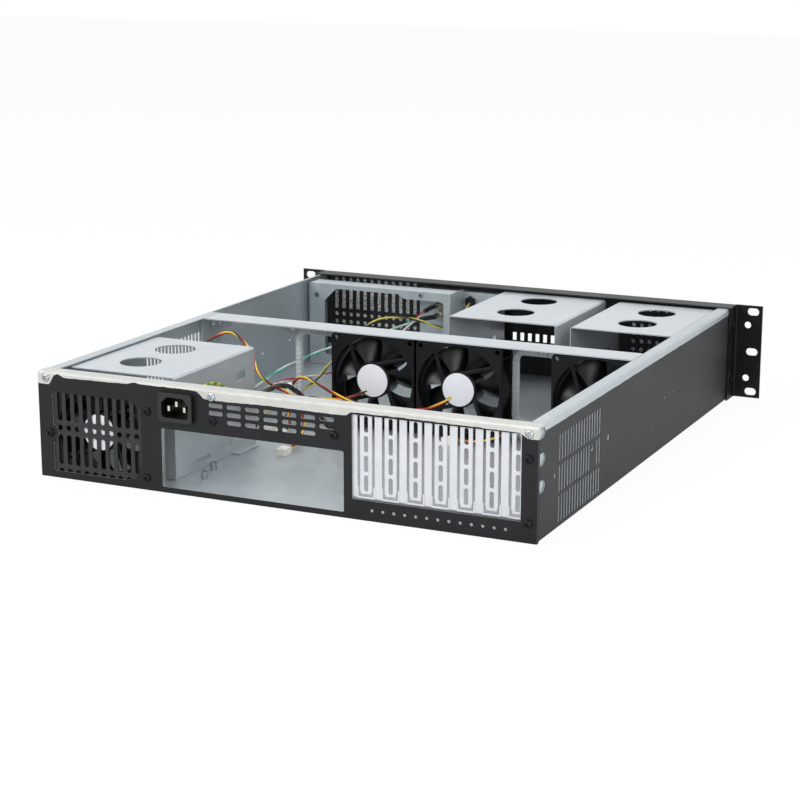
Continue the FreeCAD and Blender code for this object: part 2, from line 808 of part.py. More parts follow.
def fan_frame(name, u_alias, start, z):
    """Square frame with two flanges, a duct, four struts and the stator's base."""
    u = size(u_alias)
    half, bore = size("fan_size") / 2, size("fan_bore")
    square = eased(rectangle(u - half, z - half, u + half, z + half, 4.0))
    mouth = facet_hole(u, z, bore, BORE_SIDES)
    holes = [facet_hole(a, b, size("fan_hole"), 6) for a, b in fan_corner_holes(u, z)]
    thick = "%g" % FRAME_FLANGE
    rear = pad(name + "_rear", "across", [square, mouth] + holes, start, thick)
    front = pad(name + "_front", "across", [square, mouth] + holes,
                start + " + Size.fan_thickness - " + thick, thick)
    duct = pad(name + "_duct", "across", [facet_hole(u, z, size("fan_size") - 0.6, BORE_SIDES), mouth],
               start + " + " + thick, "Size.fan_thickness - 2 * " + thick)
    struts = []
    for k in range(4):
        angle = STRUT_TURN + 90 * k
        reach = math.sqrt((bore / 2 + 0.8) ** 2 - STRUT_OFFSET ** 2)
        struts.append([
            turned(u, z, angle, 4.0, STRUT_OFFSET - STRUT_WIDTH / 2),
            turned(u, z, angle, reach, STRUT_OFFSET - STRUT_WIDTH / 2),
            turned(u, z, angle, reach - 1.0, STRUT_OFFSET + STRUT_WIDTH / 2),
            turned(u, z, angle, 4.0, STRUT_OFFSET + STRUT_WIDTH / 2),
        ])
    depth = "%g" % STATOR_DEPTH
    bars = pad(name + "_struts", "across", struts, start + " + 0.4", depth + " - 0.4")
    hub = pad(name + "_stator", "across", [facet_hole(u, z, size("fan_hub"), BORE_SIDES)], start, depth)
    solid = joined(name + "_body", [rear, front, duct, bars, hub])
    bearing = pad(name + "_bearing", "across", [Circle(u, z, size("fan_shaft") + 2 * SHAFT_PLAY)],
                  start + " + 0.6", "4")
    return node(name, less(name + "_bored", solid, [bearing]))


BLADE_PITCH = 56.0
BLADE_OUTLINE = (
    # a swept blade seen square on: share of the tip's distance from the shaft, place along the chord
    (0.40, -8.6),
    (0.72, -9.6),
    (0.955, -8.2),
    (0.90, 13.2),
    (0.66, 11.4),
    (0.40, 8.6),
)


def prism(radius, sides, rear, front):
    """A drum of straight facets round the Y axis between two depths."""
    turn = 2 * math.pi / sides
    ring = [FreeCAD.Vector(radius * math.cos(turn * k), -rear, radius * math.sin(turn * k)) for k in range(sides)]
    face = Part.Face(Part.makePolygon(ring + ring[:1]))
    return face.extrude(FreeCAD.Vector(0, rear - front, 0))


def rotor_shape():
    """Hub, swept blades and shaft of a rotor whose frame starts at y = 0 and runs towards -Y."""
    hub_radius = size("fan_hub") / 2 - 0.3
    tip = size("fan_bore") / 2 - size("blade_gap")
    first = STATOR_DEPTH + 0.6
    last = size("fan_thickness") - 1.5
    hub = prism(hub_radius, BORE_SIDES, first, last)
    shaft = Part.makeCylinder(size("fan_shaft") / 2, first + 0.1, FreeCAD.Vector(0, -0.9, 0), FreeCAD.Vector(0, -1, 0))
    half = BLADE_THICKNESS / 2
    ring = [FreeCAD.Vector(share * tip, along, -half) for share, along in BLADE_OUTLINE]
    blade = Part.Face(Part.makePolygon(ring + ring[:1])).extrude(FreeCAD.Vector(0, 0, BLADE_THICKNESS))
    blade.rotate(FreeCAD.Vector(0, 0, 0), FreeCAD.Vector(1, 0, 0), BLADE_PITCH)
    blade.translate(FreeCAD.Vector(0, -(first + last) / 2, 0))
    count = int(round(size("blade_count")))
    blades = []
    for k in range(count):
        copy = blade.copy()
        copy.rotate(FreeCAD.Vector(0, 0, 0), FreeCAD.Vector(0, 1, 0), 360.0 * k / count)
        blades.append(copy)
    return hub.fuse([shaft] + blades)


def fan_rotor(name, shape, u_alias, start, z):
    rotor = doc.addObject("Part::Feature", name + "_moulding")
    rotor.Shape = shape
    rotor.Placement = FreeCAD.Placement(FreeCAD.Vector(to_x(size(u_alias)), to_y(start), z), FreeCAD.Rotation())
    return node(name, rotor)


REAR_FAN_START = "Size.rear_sheet + Size.fit_gap + Size.sheet + Size.fit_gap"
FRONT_FAN_START = "Size.fan_wall_front - Size.sheet - Size.fit_gap - Size.fan_thickness"
BEAM_UNDERSIDE = "Size.body_height - Size.sheet"


def rear_fan_z():
    return size("sheet") + size("fit_gap") + size("fan_size") / 2


def front_fan_z():
    return size("body_height") - size("sheet") - size("fit_gap") - size("fan_size") / 2


def fans():
    shape = rotor_shape()
    rear_start = size("rear_sheet") + 2 * size("fit_gap") + size("sheet")
    fan_frame("rear_fan_frame", "rear_fan_u", REAR_FAN_START, rear_fan_z())
    fan_rotor("rear_fan_rotor", shape, "rear_fan_u", rear_start, rear_fan_z())
    front_start = size("fan_wall_front") - size("sheet") - size("fit_gap") - size("fan_thickness")
    for k in (1, 2, 3):
        alias = "fan_%d_u" % k
        fan_frame("fan_%d_frame" % k, alias, FRONT_FAN_START, front_fan_z())
        fan_rotor("fan_%d_rotor" % k, shape, alias, front_start, front_fan_z())


# ---------------------------------------------------------------- fan wall
def fan_wall():
    width, height, thick = size("body_width"), size("body_height"), size("sheet")
    gap = size("fit_gap")
    wall_near, wall_far = thick + gap, width - thick - gap
    shoulder = height - thick - gap
    beam_near, beam_far = size("side_flange") + gap + 0.2, width - size("side_flange") - gap - 0.2
    near, far = size("cable_opening_near"), size("cable_opening_far")
    top = 82.5
    plate = [
        (wall_near, thick + gap, 0),
        (wall_far, thick + gap, 0),
        (wall_far, shoulder - thick, 0),
        (beam_far, shoulder - thick, 0),
        (beam_far, height, 0),
        (beam_near, height, 0),
        (beam_near, shoulder - thick, 0),
        (wall_near, shoulder - thick, 0),
    ]
    cable_opening = [
        (near, 9.0, 3.0),
        (far, 9.0, 3.0),
        (far, top - 15, 2.0),
        (far - 17.0, top, 2.0),
        (near + 15.5, top, 2.0),
        (near, top - 18.5, 2.0),
    ]
    low, high = size("window_low"), size("window_high")
    windows = [
        rectangle(size("left_window_near"), low, size("left_window_far"), high, 8.0),
        rectangle(size("right_window_near"), low, size("right_window_far"), high, 8.0),
    ]
    bores = []
    for k in (1, 2, 3):
        u = size("fan_%d_u" % k)
        bores.append(Circle(u, front_fan_z(), size("fan_bore")))
        bores += [facet_hole(a, b, size("fan_hole"), 6) for a, b in fan_corner_holes(u, front_fan_z())]
    small = [Circle(6.2, 77.5, 5.0), Circle(88.6, 80.2, 5.0), Circle(13.0, 79.0, 3.0)]
    start = "Size.fan_wall_front - Size.sheet"
    openings = [eased(outline) for outline in [cable_opening] + windows + bores + small]
    face = pad("fan_wall_face", "across", [plate] + openings, start, "Size.sheet")
    beam = box("fan_wall_beam", str(beam_near), str(beam_far), "Size.fan_wall_front - Size.beam_depth",
               start + " + Size.sheet / 2", BEAM_UNDERSIDE, "Size.body_height")
    folds = [face, beam]
    for side, first, last in (("left", str(wall_near), "%g + Size.sheet" % wall_near),
                              ("right", "%g - Size.sheet" % wall_far, str(wall_far))):
        folds.append(box("fan_wall_%s_fold" % side, first, last, start + " - Size.wall_side_flange",
                         start + " + Size.sheet / 2", "Size.sheet + Size.fit_gap", str(shoulder - thick)))
    folds.append(box("fan_wall_foot", str(wall_near + 3), str(wall_far - 3), start + " + Size.sheet / 2",
                     "Size.fan_wall_front + 12", "Size.sheet + Size.fit_gap", "2 * Size.sheet + Size.fit_gap"))
    return node("fan_wall", joined("fan_wall_fold", folds))


def edge_trim(name, near_alias, far_alias):
    """A moulded edging that grips the rim of a cable window."""
    near, far = size(near_alias), size(far_alias)
    low, high = size("window_low"), size("window_high")
    face, thick, gap = size("trim_face"), size("sheet"), size("fit_gap") / 3
    outer = rectangle(near - face, low - face, far + face, high + face, 8.0 + face)
    inner = rectangle(near + face, low + face, far - face, high - face, 8.0 - face)
    middle = "Size.fan_wall_front - Size.sheet / 2"
    ring = pad(name + "_ring", "across", [eased(outer), eased(inner)], middle + " - Size.trim_depth / 2", "Size.trim_depth")
    groove_inner = rectangle(near + gap, low + gap, far - gap, high - gap, 8.0)
    groove_outer = rectangle(near - face - 2, low - face - 2, far + face + 2, high + face + 2)
    groove = pad(name + "_groove", "across", [groove_outer, eased(groove_inner)],
                 middle + " - Size.sheet / 2 - Size.fit_gap / 3", "Size.sheet + 2 * Size.fit_gap / 3")
    return node(name, less(name + "_moulding", ring, [groove]))


# ---------------------------------------------------------------- cages
def cage_profile(near, far, top, foot_in, with_near_wall=True):
    """Section of a cage across the case: top plate, walls and inward feet."""
    thick, bend = size("sheet"), size("bend_radius")
    low = size("sheet") + size("fit_gap")
    inner = max(bend - thick, 0.2)
    if with_near_wall:
        return [
            (near, low, 0),
            (near + foot_in, low, 0),
            (near + foot_in, low + thick, 0),
            (near + thick, low + thick, 0),
            (near + thick, top - thick, inner),
            (far - thick, top - thick, inner),
            (far - thick, low + thick, 0),
            (far - foot_in, low + thick, 0),
            (far - foot_in, low, 0),
            (far, low, 0),
            (far, top, bend),
            (near, top, bend),
        ]
    lip = 6.0
    return [
        (near, top - lip, 0),
        (near + thick, top - lip, 0),
        (near + thick, top - thick, inner),
        (far - thick, top - thick, inner),
        (far - thick, low, 0),
        (far, low, 0),
        (far, top, bend),
        (near, top, bend),
    ]


def cage_holes(name, places):
    """The round holes in a cage's top."""
    outlines = [facet_hole(u, v, size("cage_hole"), 24) for u, v in places]
    return pad(name + "_top_holes", "floor", outlines, "Size.cage_top - 3", "6")


def psu_cage():
    near, far, top = size("psu_cage_near"), size("psu_cage_far"), size("cage_top")
    rear, front = "Size.psu_cage_rear", "Size.psu_cage_front"
    channel = pad("psu_cage_channel", "across", [eased(cage_profile(near, far, top, 0, False))],
                  rear, front + " - " + rear)
    stiffener = box("psu_cage_stiffener", "Size.psu_cage_far - 10", "Size.psu_cage_far - Size.sheet / 2",
                    rear, rear + " + Size.sheet", "Size.sheet + Size.fit_gap", "Size.cage_top - Size.sheet / 2")
    foot = box("psu_cage_foot", "Size.psu_cage_far - Size.sheet / 2", "Size.psu_cage_far + 8.5",
               "Size.psu_cage_front - 42", "Size.psu_cage_front - 10", "Size.sheet + Size.fit_gap",
               "2 * Size.sheet + Size.fit_gap")
    rear_foot = box("psu_cage_rear_foot", "Size.psu_cage_far - 9", "Size.psu_cage_far - Size.sheet / 2",
                    rear, rear + " + 20", "Size.sheet + Size.fit_gap", "2 * Size.sheet + Size.fit_gap")
    folded = joined("psu_cage_folded", [channel, stiffener, foot, rear_foot])
    middle = size("psu_cage_near") + 46.4
    back, end = size("psu_cage_rear"), size("psu_cage_front")
    holes = cage_holes("psu_cage", ((middle, back + 39.8), (middle, back + 93.6)))
    wall_cuts = pad("psu_cage_wall_cuts", "along", [
        eased(rectangle(end - 30.5, top - 23.5, end - 16.5, top - 16.0, 1.5)),
        rectangle(back + 32.0, 6.5, back + 54.0, 10.5),
        rectangle(back + 66.0, 9.0, back + 88.0, 13.0),
        rectangle(end - 36.0, 11.0, end - 26.0, 16.0),
    ], "Size.psu_cage_far + 1", "Size.sheet + 2")
    return node("psu_cage", less("psu_cage_cut", folded, [holes, wall_cuts]))


def drive_cage(name, prefix, holes, side_slots):
    near = size(prefix + "_near")
    far = near + size(prefix + "_width")
    rear, front = "Size.%s_rear" % prefix, "Size.%s_front" % prefix
    channel = pad(name + "_channel", "across",
                  [eased(cage_profile(near, far, size("cage_top"), size("cage_foot")))], rear, front + " - " + rear)
    slots = pad(name + "_side_slots", "along", side_slots, "%g" % (far + 1), "%g" % (far - near + 2))
    return node(name, less(name + "_cut", channel, [cage_holes(name, holes), slots]))


def drive_cages():
    rear = size("centre_cage_rear")
    drive_screws = [rectangle(rear + a - 4.5, b - 1.8, rear + a + 4.5, b + 1.8) for a in (24.0, 66.0, 108.0) for b in (14.0, 44.0)]
    near = size("centre_cage_near")
    drive_cage("drive_cage_centre", "centre_cage", ((near + 49.8, rear + 41.9), (near + 49.7, rear + 100.7)), drive_screws)
    rear = size("right_cage_rear")
    drive_screws = [rectangle(rear + a - 4.5, b - 1.8, rear + a + 4.5, b + 1.8) for a in (24.0, 66.0, 106.0) for b in (14.0, 44.0)]
    near = size("right_cage_near")
    drive_cage("drive_cage_right", "right_cage", ((near + 49.3, rear + 40.7), (near + 50.1, rear + 93.5)), drive_screws)


# ---------------------------------------------------------------- front brackets
def front_bracket():
    near, far, top = size("front_bracket_near"), size("front_bracket_far"), size("front_bracket_top")
    low = size("sheet") + size("fit_gap")
    plate = rectangle(near, low, far, top)
    opening = [
        (22.5, 12.0, 2.0),
        (152.8, 12.0, 2.0),
        (152.8, 75.5, 4.0),
        (110.5, 75.5, 1.0),
        (103.6, 79.6, 1.0),
        (35.3, 79.6, 1.0),
        (22.5, 67.0, 1.0),
    ]
    small = [facet_hole(13.6, 71.9, 5.5, 8), facet_hole(128.4, 80.0, 5.0, 8)]
    start = "Size.front_bracket_rear"
    face = pad("front_bracket_face", "across", [plate, eased(opening)] + small, start, "Size.sheet")
    ledge = box("front_bracket_ledge", str(near), str(far), start + " + Size.sheet / 2",
                start + " + Size.front_bracket_flange", "Size.front_bracket_top - Size.sheet",
                "Size.front_bracket_top")
    wing = box("front_bracket_wing", str(far) + " - Size.sheet", str(far), start + " + Size.sheet / 2",
               "Size.switch_bracket_rear - Size.fit_gap", "Size.sheet + Size.fit_gap",
               "Size.front_bracket_top - Size.sheet / 2")
    foot = box("front_bracket_foot", str(near), str(far), start + " + Size.sheet / 2", start + " + 12",
               "Size.sheet + Size.fit_gap", "2 * Size.sheet + Size.fit_gap")
    lead_slot = box("front_bracket_lead_slot", str(far) + " - 3", str(far) + " + 2", start + " + 2.5",
                    start + " + 14", "40", "58")
    folded = joined("front_bracket_fold", [face, ledge, wing, foot])
    return node("front_bracket", less("front_bracket_cut", folded, [lead_slot]))


SWITCHES = (("power", "power_switch_height"), ("reset", "reset_switch_height"))
BUSHING_PLAY = 0.15
ROUND = 12
PANEL_BACK = "Size.body_depth - Size.panel_sheet"


def switch_bracket():
    near, far, top = size("switch_bracket_near"), size("switch_bracket_far"), size("switch_bracket_top")
    low = size("sheet") + size("fit_gap")
    clear = size("bushing") + 2 * BUSHING_PLAY
    holes = [facet_hole(size("switch_u"), size(alias), clear, ROUND) for name, alias in SWITCHES]
    holes.append(facet_hole(size("lamp_u"), size("lamp_height"), clear, ROUND))
    start = "Size.switch_bracket_rear"
    face = pad("switch_bracket_face", "across", [rectangle(near, low, far, top)] + holes, start, "Size.sheet")
    ledge = box("switch_bracket_ledge", str(near), str(far), start + " + Size.sheet / 2",
                "Size.body_depth - Size.panel_sheet - Size.fit_gap - 1", "Size.switch_bracket_top - Size.sheet",
                "Size.switch_bracket_top")
    foot = box("switch_bracket_foot", str(near), str(far), start + " + Size.sheet / 2", start + " + 10",
               "Size.sheet + Size.fit_gap", "2 * Size.sheet + Size.fit_gap")
    return node("switch_bracket", joined("switch_bracket_fold", [face, ledge, foot]))


def barrel(name, u, z, diameter, start, length, sides=ROUND):
    """A small round part along v, drawn with straight facets."""
    return pad(name, "across", [facet_hole(u, z, diameter, sides)], start, length)


def switch(name, height_alias):
    """A threaded switch body with its nut, two terminals and a sprung plunger."""
    u, z = size("switch_u"), size(height_alias)
    rear = "Size.switch_bracket_rear"
    bush = barrel(name + "_bush", u, z, size("bushing"), rear + " - 6",
                  PANEL_BACK + " - (" + rear + ") + 6 - Size.fit_gap")
    nut = barrel(name + "_nut", u, z, 10.4, rear + " - 2.4", "2.4", 6)
    blades = [rectangle(u + shift - 0.3, z - 0.9, u + shift + 0.3, z + 0.9) for shift in (-1.6, 1.6)]
    terminals = pad(name + "_terminals", "across", blades, rear + " - 10", "4.5")
    bore = barrel(name + "_bore", u, z, size("button") + 0.12, rear + " - 1", "40")
    node(name + "_switch_body", less(name + "_bored", joined(name + "_solid", [bush, nut, terminals]), [bore]))
    start = rear + " - 1 + Size.button_travel + Size.fit_gap"
    node(name + "_button", barrel(name + "_plunger", u, z, size("button"), start,
                                  "Size.body_depth + 3 - (" + start + ")"))


def indicator_lamp():
    rear = "Size.switch_bracket_rear"
    u, z = size("lamp_u"), size("lamp_height")
    body = barrel("lamp_bush", u, z, size("bushing"), rear + " - 4", "Size.body_depth + 1.2 - (" + rear + ") + 4")
    nut = barrel("lamp_nut", u, z, 11.4, rear + " - 2.4", "2.4", 6)
    node("indicator_lamp", joined("lamp_solid", [body, nut]))


# ---------------------------------------------------------------- front panel
GRILLE_FIRST = 11.8
GRILLE_COLUMNS = 12
RIGHT_GRILLE_FIRST = size("body_width") - 98.8
RIGHT_GRILLE_COLUMNS = 5
RIGHT_GRILLE_HEIGHTS = (36.2, 44.2, 52.2, 60.2, 68.2, 76.2, 84.2)
CENTRE_SLOT_FIRST = size("centre_cage_near") + 5.5
CENTRE_SLOT_COLUMNS = 12
FILTER_PLACES = (
    ("left", 4.5, 107.0),
    ("right", size("body_width") - 107.0, size("body_width") - 58.0),
)
FILTER_LOW = 3.0
FILTER_HIGH = 84.5


def front_panel():
    thick, bend = size("panel_sheet"), size("bend_radius")
    back, face = size("body_depth") - thick, size("body_depth")
    high, low = size("panel_height"), size("fit_gap")
    flange = size("panel_flange")
    profile = [
        (face, low, 0),
        (face, high, bend),
        (face - flange, high, 0),
        (face - flange, high - size("sheet"), 0),
        (back, high - size("sheet"), 0.3),
        (back, low, 0),
    ]
    folded = pad("front_panel_fold", "along", [eased(profile)], "Size.body_width", "Size.body_width")
    outlines = perforated_columns(GRILLE_FIRST, GRILLE_COLUMNS, (36.4, 44.4, 80.2), (18.4, 62.3), 6, square_slot)
    for k in range(RIGHT_GRILLE_COLUMNS):
        u = RIGHT_GRILLE_FIRST + k * size("perforation_pitch")
        for z in RIGHT_GRILLE_HEIGHTS:
            outlines.append(facet_hole(u, z, 4.8, 6))
    for k in range(CENTRE_SLOT_COLUMNS):
        u = CENTRE_SLOT_FIRST + k * size("perforation_pitch")
        for z in (26.0, 38.0):
            outlines.append(rectangle(u - 2.1, z - 4.0, u + 2.1, z + 4.0))
    for name, alias in SWITCHES:
        outlines.append(facet_hole(size("switch_u"), size(alias), size("button") + 0.6, ROUND))
    outlines.append(facet_hole(size("lamp_u"), size("lamp_height"), size("bushing") + 2 * BUSHING_PLAY, ROUND))
    cutter = pad("front_panel_cutter", "across", outlines, PANEL_BACK + " - 1", "Size.panel_sheet + 2")
    return node("front_panel", less("front_panel_cut", folded, [cutter]))


def filters():
    """A fibre pad over each grille, held by a snap-on frame with bars."""
    start = "Size.body_depth + Size.fit_gap / 3"
    for name, near, far in FILTER_PLACES:
        outline = rectangle(near + 2, FILTER_LOW + 2, far - 2, FILTER_HIGH - 2)
        node("filter_pad_" + name, pad(name + "_filter", "across", [outline], start, "Size.filter_depth"))
        rim = eased(rectangle(near, FILTER_LOW, far, FILTER_HIGH, 2.0))
        gap = size("fit_gap")
        inner = rectangle(near + 2 - gap, FILTER_LOW + 2 - gap, far - 2 + gap, FILTER_HIGH - 2 + gap)
        frame = pad(name + "_filter_rim", "across", [rim, inner], start, "Size.filter_frame_depth")
        bars = int(round((far - near) / 18.0))
        step = (far - near - 4) / bars
        windows = [rectangle(near + 2 + k * step + 1.2, FILTER_LOW + 5, near + 2 + (k + 1) * step - 1.2,
                             FILTER_HIGH - 5) for k in range(bars)]
        grid = pad(name + "_filter_bars", "across", [rectangle(near + 1, FILTER_LOW + 1, far - 1, FILTER_HIGH - 1)]
                   + windows, start + " + Size.filter_depth + Size.fit_gap",
                   "Size.filter_frame_depth - Size.filter_depth - Size.fit_gap")
        node("filter_frame_" + name, joined(name + "_filter_frame", [frame, grid]))


# ---------------------------------------------------------------- rack ears
def ear(name, side):
    """An angle with the rack's three slots and two holes for a handle."""
    thick = size("ear_sheet")
    reach = size("ear_reach")
    clear = 0.1
    if side == "left":
        inner, outer, first = -clear, -reach, -clear - thick
    else:
        inner = size("body_width") + clear
        outer = size("body_width") + reach
        first = inner + thick
    face = size("body_depth")
    back = face - thick
    profile = [
        (inner, face, thick + 1.0),
        (outer, face, 0),
        (outer, back, 0),
        (first, back, 1.0),
        (first, face - size("ear_flange"), 0),
        (inner, face - size("ear_flange"), 0),
    ]
    blank = pad(name + "_fold", "floor", [eased(profile)], "Size.fit_gap", "Size.panel_height - Size.fit_gap")
    inset = size("rack_hole_inset")
    slot_u = inset - reach if side == "left" else size("body_width") + reach - inset
    middle = (size("fit_gap") + size("panel_height")) / 2
    outlines = []
    for k in (-1, 0, 1):
        outlines.append(round_slot(slot_u, middle + k * size("rack_hole_pitch"),
                                   size("rack_slot_width"), size("rack_slot_height")))
    shift = 4.8 if side == "left" else -4.8
    for k in (-0.5, 0.5):
        outlines.append(facet_hole(slot_u + shift, middle + k * size("handle_hole_pitch"),
                                   size("handle_hole"), 12))
    cutter = pad(name + "_cutter", "across", outlines, PANEL_BACK + " - 3", "8")
    screws = pad(name + "_screw_holes", "along",
                 [facet_hole(size("body_depth") - EAR_SCREW_INSET, z, size("screw_shank") + 2 * size("fit_gap"), 6)
                  for z in EAR_SCREW_HEIGHTS],
                 "4" if side == "left" else "Size.body_width + 4", "8")
    return node(name, less(name + "_cut", blank, [cutter, screws]))


EAR_SCREW_HEAD = 1.6


def ear_screws():
    outer = 0.1 + size("ear_sheet")
    v = size("body_depth") - EAR_SCREW_INSET
    heads = [facet_hole(v, z, size("screw_head"), 8) for z in EAR_SCREW_HEIGHTS]
    shanks = [facet_hole(v, z, size("screw_shank"), 6) for z in EAR_SCREW_HEIGHTS]
    solids = []
    for side, head_far, shank_far in (
        ("left", "-%g" % outer, "3.4 - %g" % outer),
        ("right", "Size.body_width + %g" % (outer + EAR_SCREW_HEAD), "Size.body_width + %g" % (outer + 1)),
    ):
        head = pad("ear_%s_screw_heads" % side, "along", heads, head_far, "%g" % EAR_SCREW_HEAD)
        shank = pad("ear_%s_screw_shanks" % side, "along", shanks, shank_far, "4.4")
        solids.append(joined("ear_%s_screws" % side, [head, shank]))
    return node("ear_screws", grouped("ear_screw_group", solids))


# ---------------------------------------------------------------- small parts
STANDOFFS = ((126.7, 44.0), (119.7, 70.0))


def standoffs():
    posts = [facet_hole(u, v, 5.5, 6) for u, v in STANDOFFS]
    sockets = [facet_hole(u, v, 3.0, 6) for u, v in STANDOFFS]
    post = pad("standoff_posts", "floor", posts, "Size.sheet + Size.fit_gap / 10", "Size.standoff_height")
    socket = pad("standoff_sockets", "floor", sockets, "Size.sheet + Size.standoff_height - 3", "4")
    return node("board_standoffs", less("standoffs_threaded", post, [socket]))


# ---------------------------------------------------------------- leads
LEADS = {
    # name: diameter and the corners of its route
    "lead_rear_fan": (3, (
        (26, 25, 12), (25, 43, 12.5), (15, 76, 20), (8.5, 118, 29), (8.5, 160, 38), (12, 198, 53),
        (22, 226, 70), (40, 240, 79), (61, 227, 71.5), (81, 207, 67), (91, 193, 54), (110, 189, 44.5),
        (130, 190, 39), (142, 185, 24), (148, 173, 9), (149, 157, 4), (149, 142, 4),
    )),
    "lead_fan_1": (3, (
        (175, 242.2, 36), (159, 236, 28), (140, 230, 27), (126, 225, 29), (113, 229, 24), (104, 231, 12),
        (101, 218, 4), (101, 205, 4),
    )),
    "lead_fan_2": (3, (
        (257, 242.2, 39), (243, 237, 28.5), (224, 232, 25), (204, 225, 25.5), (185, 218, 29),
        (166, 213, 34), (145, 213, 43), (126, 216, 50), (113, 219, 43), (111, 220, 27), (111, 215, 13),
        (119, 203, 4), (119, 190, 4),
    )),
    "lead_fan_3": (3, (
        (381, 242.2, 36), (366, 236, 27), (347, 234, 24), (328, 237, 23), (311, 237, 16), (296, 232, 7),
        (281, 227, 4), (267, 227, 4),
    )),
    "lead_mains": (5, (
        (129.8, 27, 71.5), (129.5, 49, 67), (128.5, 80, 51), (131, 114, 44), (138, 148, 51),
        (142, 174, 42), (150, 193, 24), (157, 203, 10), (160, 214, 5.6), (160, 225, 5.6),
    )),
    "lead_reset": (3, (
        (133, 482, 54.7), (121, 471, 54), (107, 457, 48), (101, 425, 46), (110, 386, 55), (113, 342, 58),
        (107, 308, 56), (92, 286, 50), (78, 266, 42), (62, 250, 30), (53, 233, 15), (51, 217, 4),
        (51, 203, 4),
    )),
    "lead_power": (3, (
        (133, 482, 66.4), (126, 470, 63), (118, 456, 51), (110, 433, 38), (109, 395, 32), (113, 352, 31),
        (105, 314, 30), (90, 293, 29), (77, 270, 30), (66, 248, 24), (65, 230, 10), (66, 216, 4),
        (66, 203, 4),
    )),
    "lead_lamp": (3, (
        (167, 487.5, 71.6), (168, 473, 66), (166, 464, 54), (155, 464, 47.5), (142, 464, 49),
        (130, 459, 54), (116, 451, 58.5), (101, 439, 60), (90, 425, 56), (82, 405, 47), (86, 372, 41),
        (98, 338, 44), (103, 310, 40), (98, 289, 24), (87, 268, 18), (80, 249, 17), (80, 234, 8),
        (80, 220, 4), (80, 207, 4),
    )),
    "lead_inlet_earth": (2.4, (
        (123.5, 27, 66), (121, 44, 70), (115.5, 64, 73), (113, 86, 70.5), (113, 104, 62), (108.2, 116, 54),
    )),
}
LEAD_SIDES = 4
BEND_SHARE = 0.45


def tube(name, diameter, places):
    """A free lead as a tube of flats: straight runs joined by tangent arcs."""
    corners = [FreeCAD.Vector(to_x(u), to_y(v), z) for u, v, z in places]
    runs = [corners[k + 1] - corners[k] for k in range(len(corners) - 1)]
    side = runs[0].cross(FreeCAD.Vector(0, 0, 1)).normalize()
    up = side.cross(runs[0]).normalize()
    ring = []
    for k in range(LEAD_SIDES):
        turn = 2 * math.pi * k / LEAD_SIDES
        ring.append(corners[0] + (side * math.cos(turn) + up * math.sin(turn)) * (diameter / 2))
    pairs = [(k, (k + 1) % LEAD_SIDES) for k in range(LEAD_SIDES)]
    faces = [Part.Face(Part.makePolygon(ring + ring[:1]))]
    here, length, tightest = corners[0], 0.0, 1e9
    for k, run in enumerate(runs):
        last = k == len(runs) - 1
        ahead = FreeCAD.Vector(run).normalize()
        reach = 0.0 if last else BEND_SHARE * min(run.Length, runs[k + 1].Length)
        stop = corners[k + 1] - ahead * reach
        moved = [point + stop - here for point in ring]
        faces += [Part.Face(Part.makePolygon([ring[a], ring[b], moved[b], moved[a], ring[a]])) for a, b in pairs]
        length += stop.distanceToPoint(here)
        ring, here = moved, stop
        if last:
            break
        after = FreeCAD.Vector(runs[k + 1]).normalize()
        turn = ahead.getAngle(after)
        radius = reach / math.tan(turn / 2)
        axis = ahead.cross(after).normalize()
        centre = stop + axis.cross(ahead) * radius
        faces += [Part.makeLine(ring[a], ring[b]).revolve(centre, axis, math.degrees(turn)) for a, b in pairs]
        rotation = FreeCAD.Rotation(axis, math.degrees(turn))
        ring = [centre + rotation.multVec(point - centre) for point in ring]
        here = centre + rotation.multVec(stop - centre)
        length += radius * turn
        tightest = min(tightest, radius)
    faces.append(Part.Face(Part.makePolygon(ring + ring[:1])))
    solid = Part.Solid(Part.Shell(faces))
    if solid.Volume < 0:
        solid.reverse()
    section = LEAD_SIDES / 2 * (diameter / 2) ** 2 * math.sin(2 * math.pi / LEAD_SIDES)
    if abs(solid.Volume / (section * length) - 1) > 0.03:
        raise RuntimeError("%s holds %.0f cubic mm, not %.0f" % (name, solid.Volume, section * length))
    print("%s: %.0f mm long, tightest bend %.1f mm" % (name, length, tightest))
    feature = doc.addObject("Part::Feature", name + "_tube")
    feature.Shape = solid
    return node(name, feature)


def plug_box(name, u, v, rear_v, half, low, high):
    """A small moulded connector with a latch rib, lying along v."""
    shell = box(name + "_shell", "%g" % (u - half), "%g" % (u + half), "%g" % rear_v, "%g" % v,
                "%g" % low, "%g" % high)
    rib = box(name + "_rib", "%g" % (u - half / 3), "%g" % (u + half / 3), "%g" % (rear_v + 1), "%g" % (v - 2),
              "%g" % (high - 0.5), "%g" % (high + 0.8))
    return joined(name + "_body", [shell, rib])


CONNECTOR_LENGTH = 12.0
CONNECTOR_FLOOR = 0.1


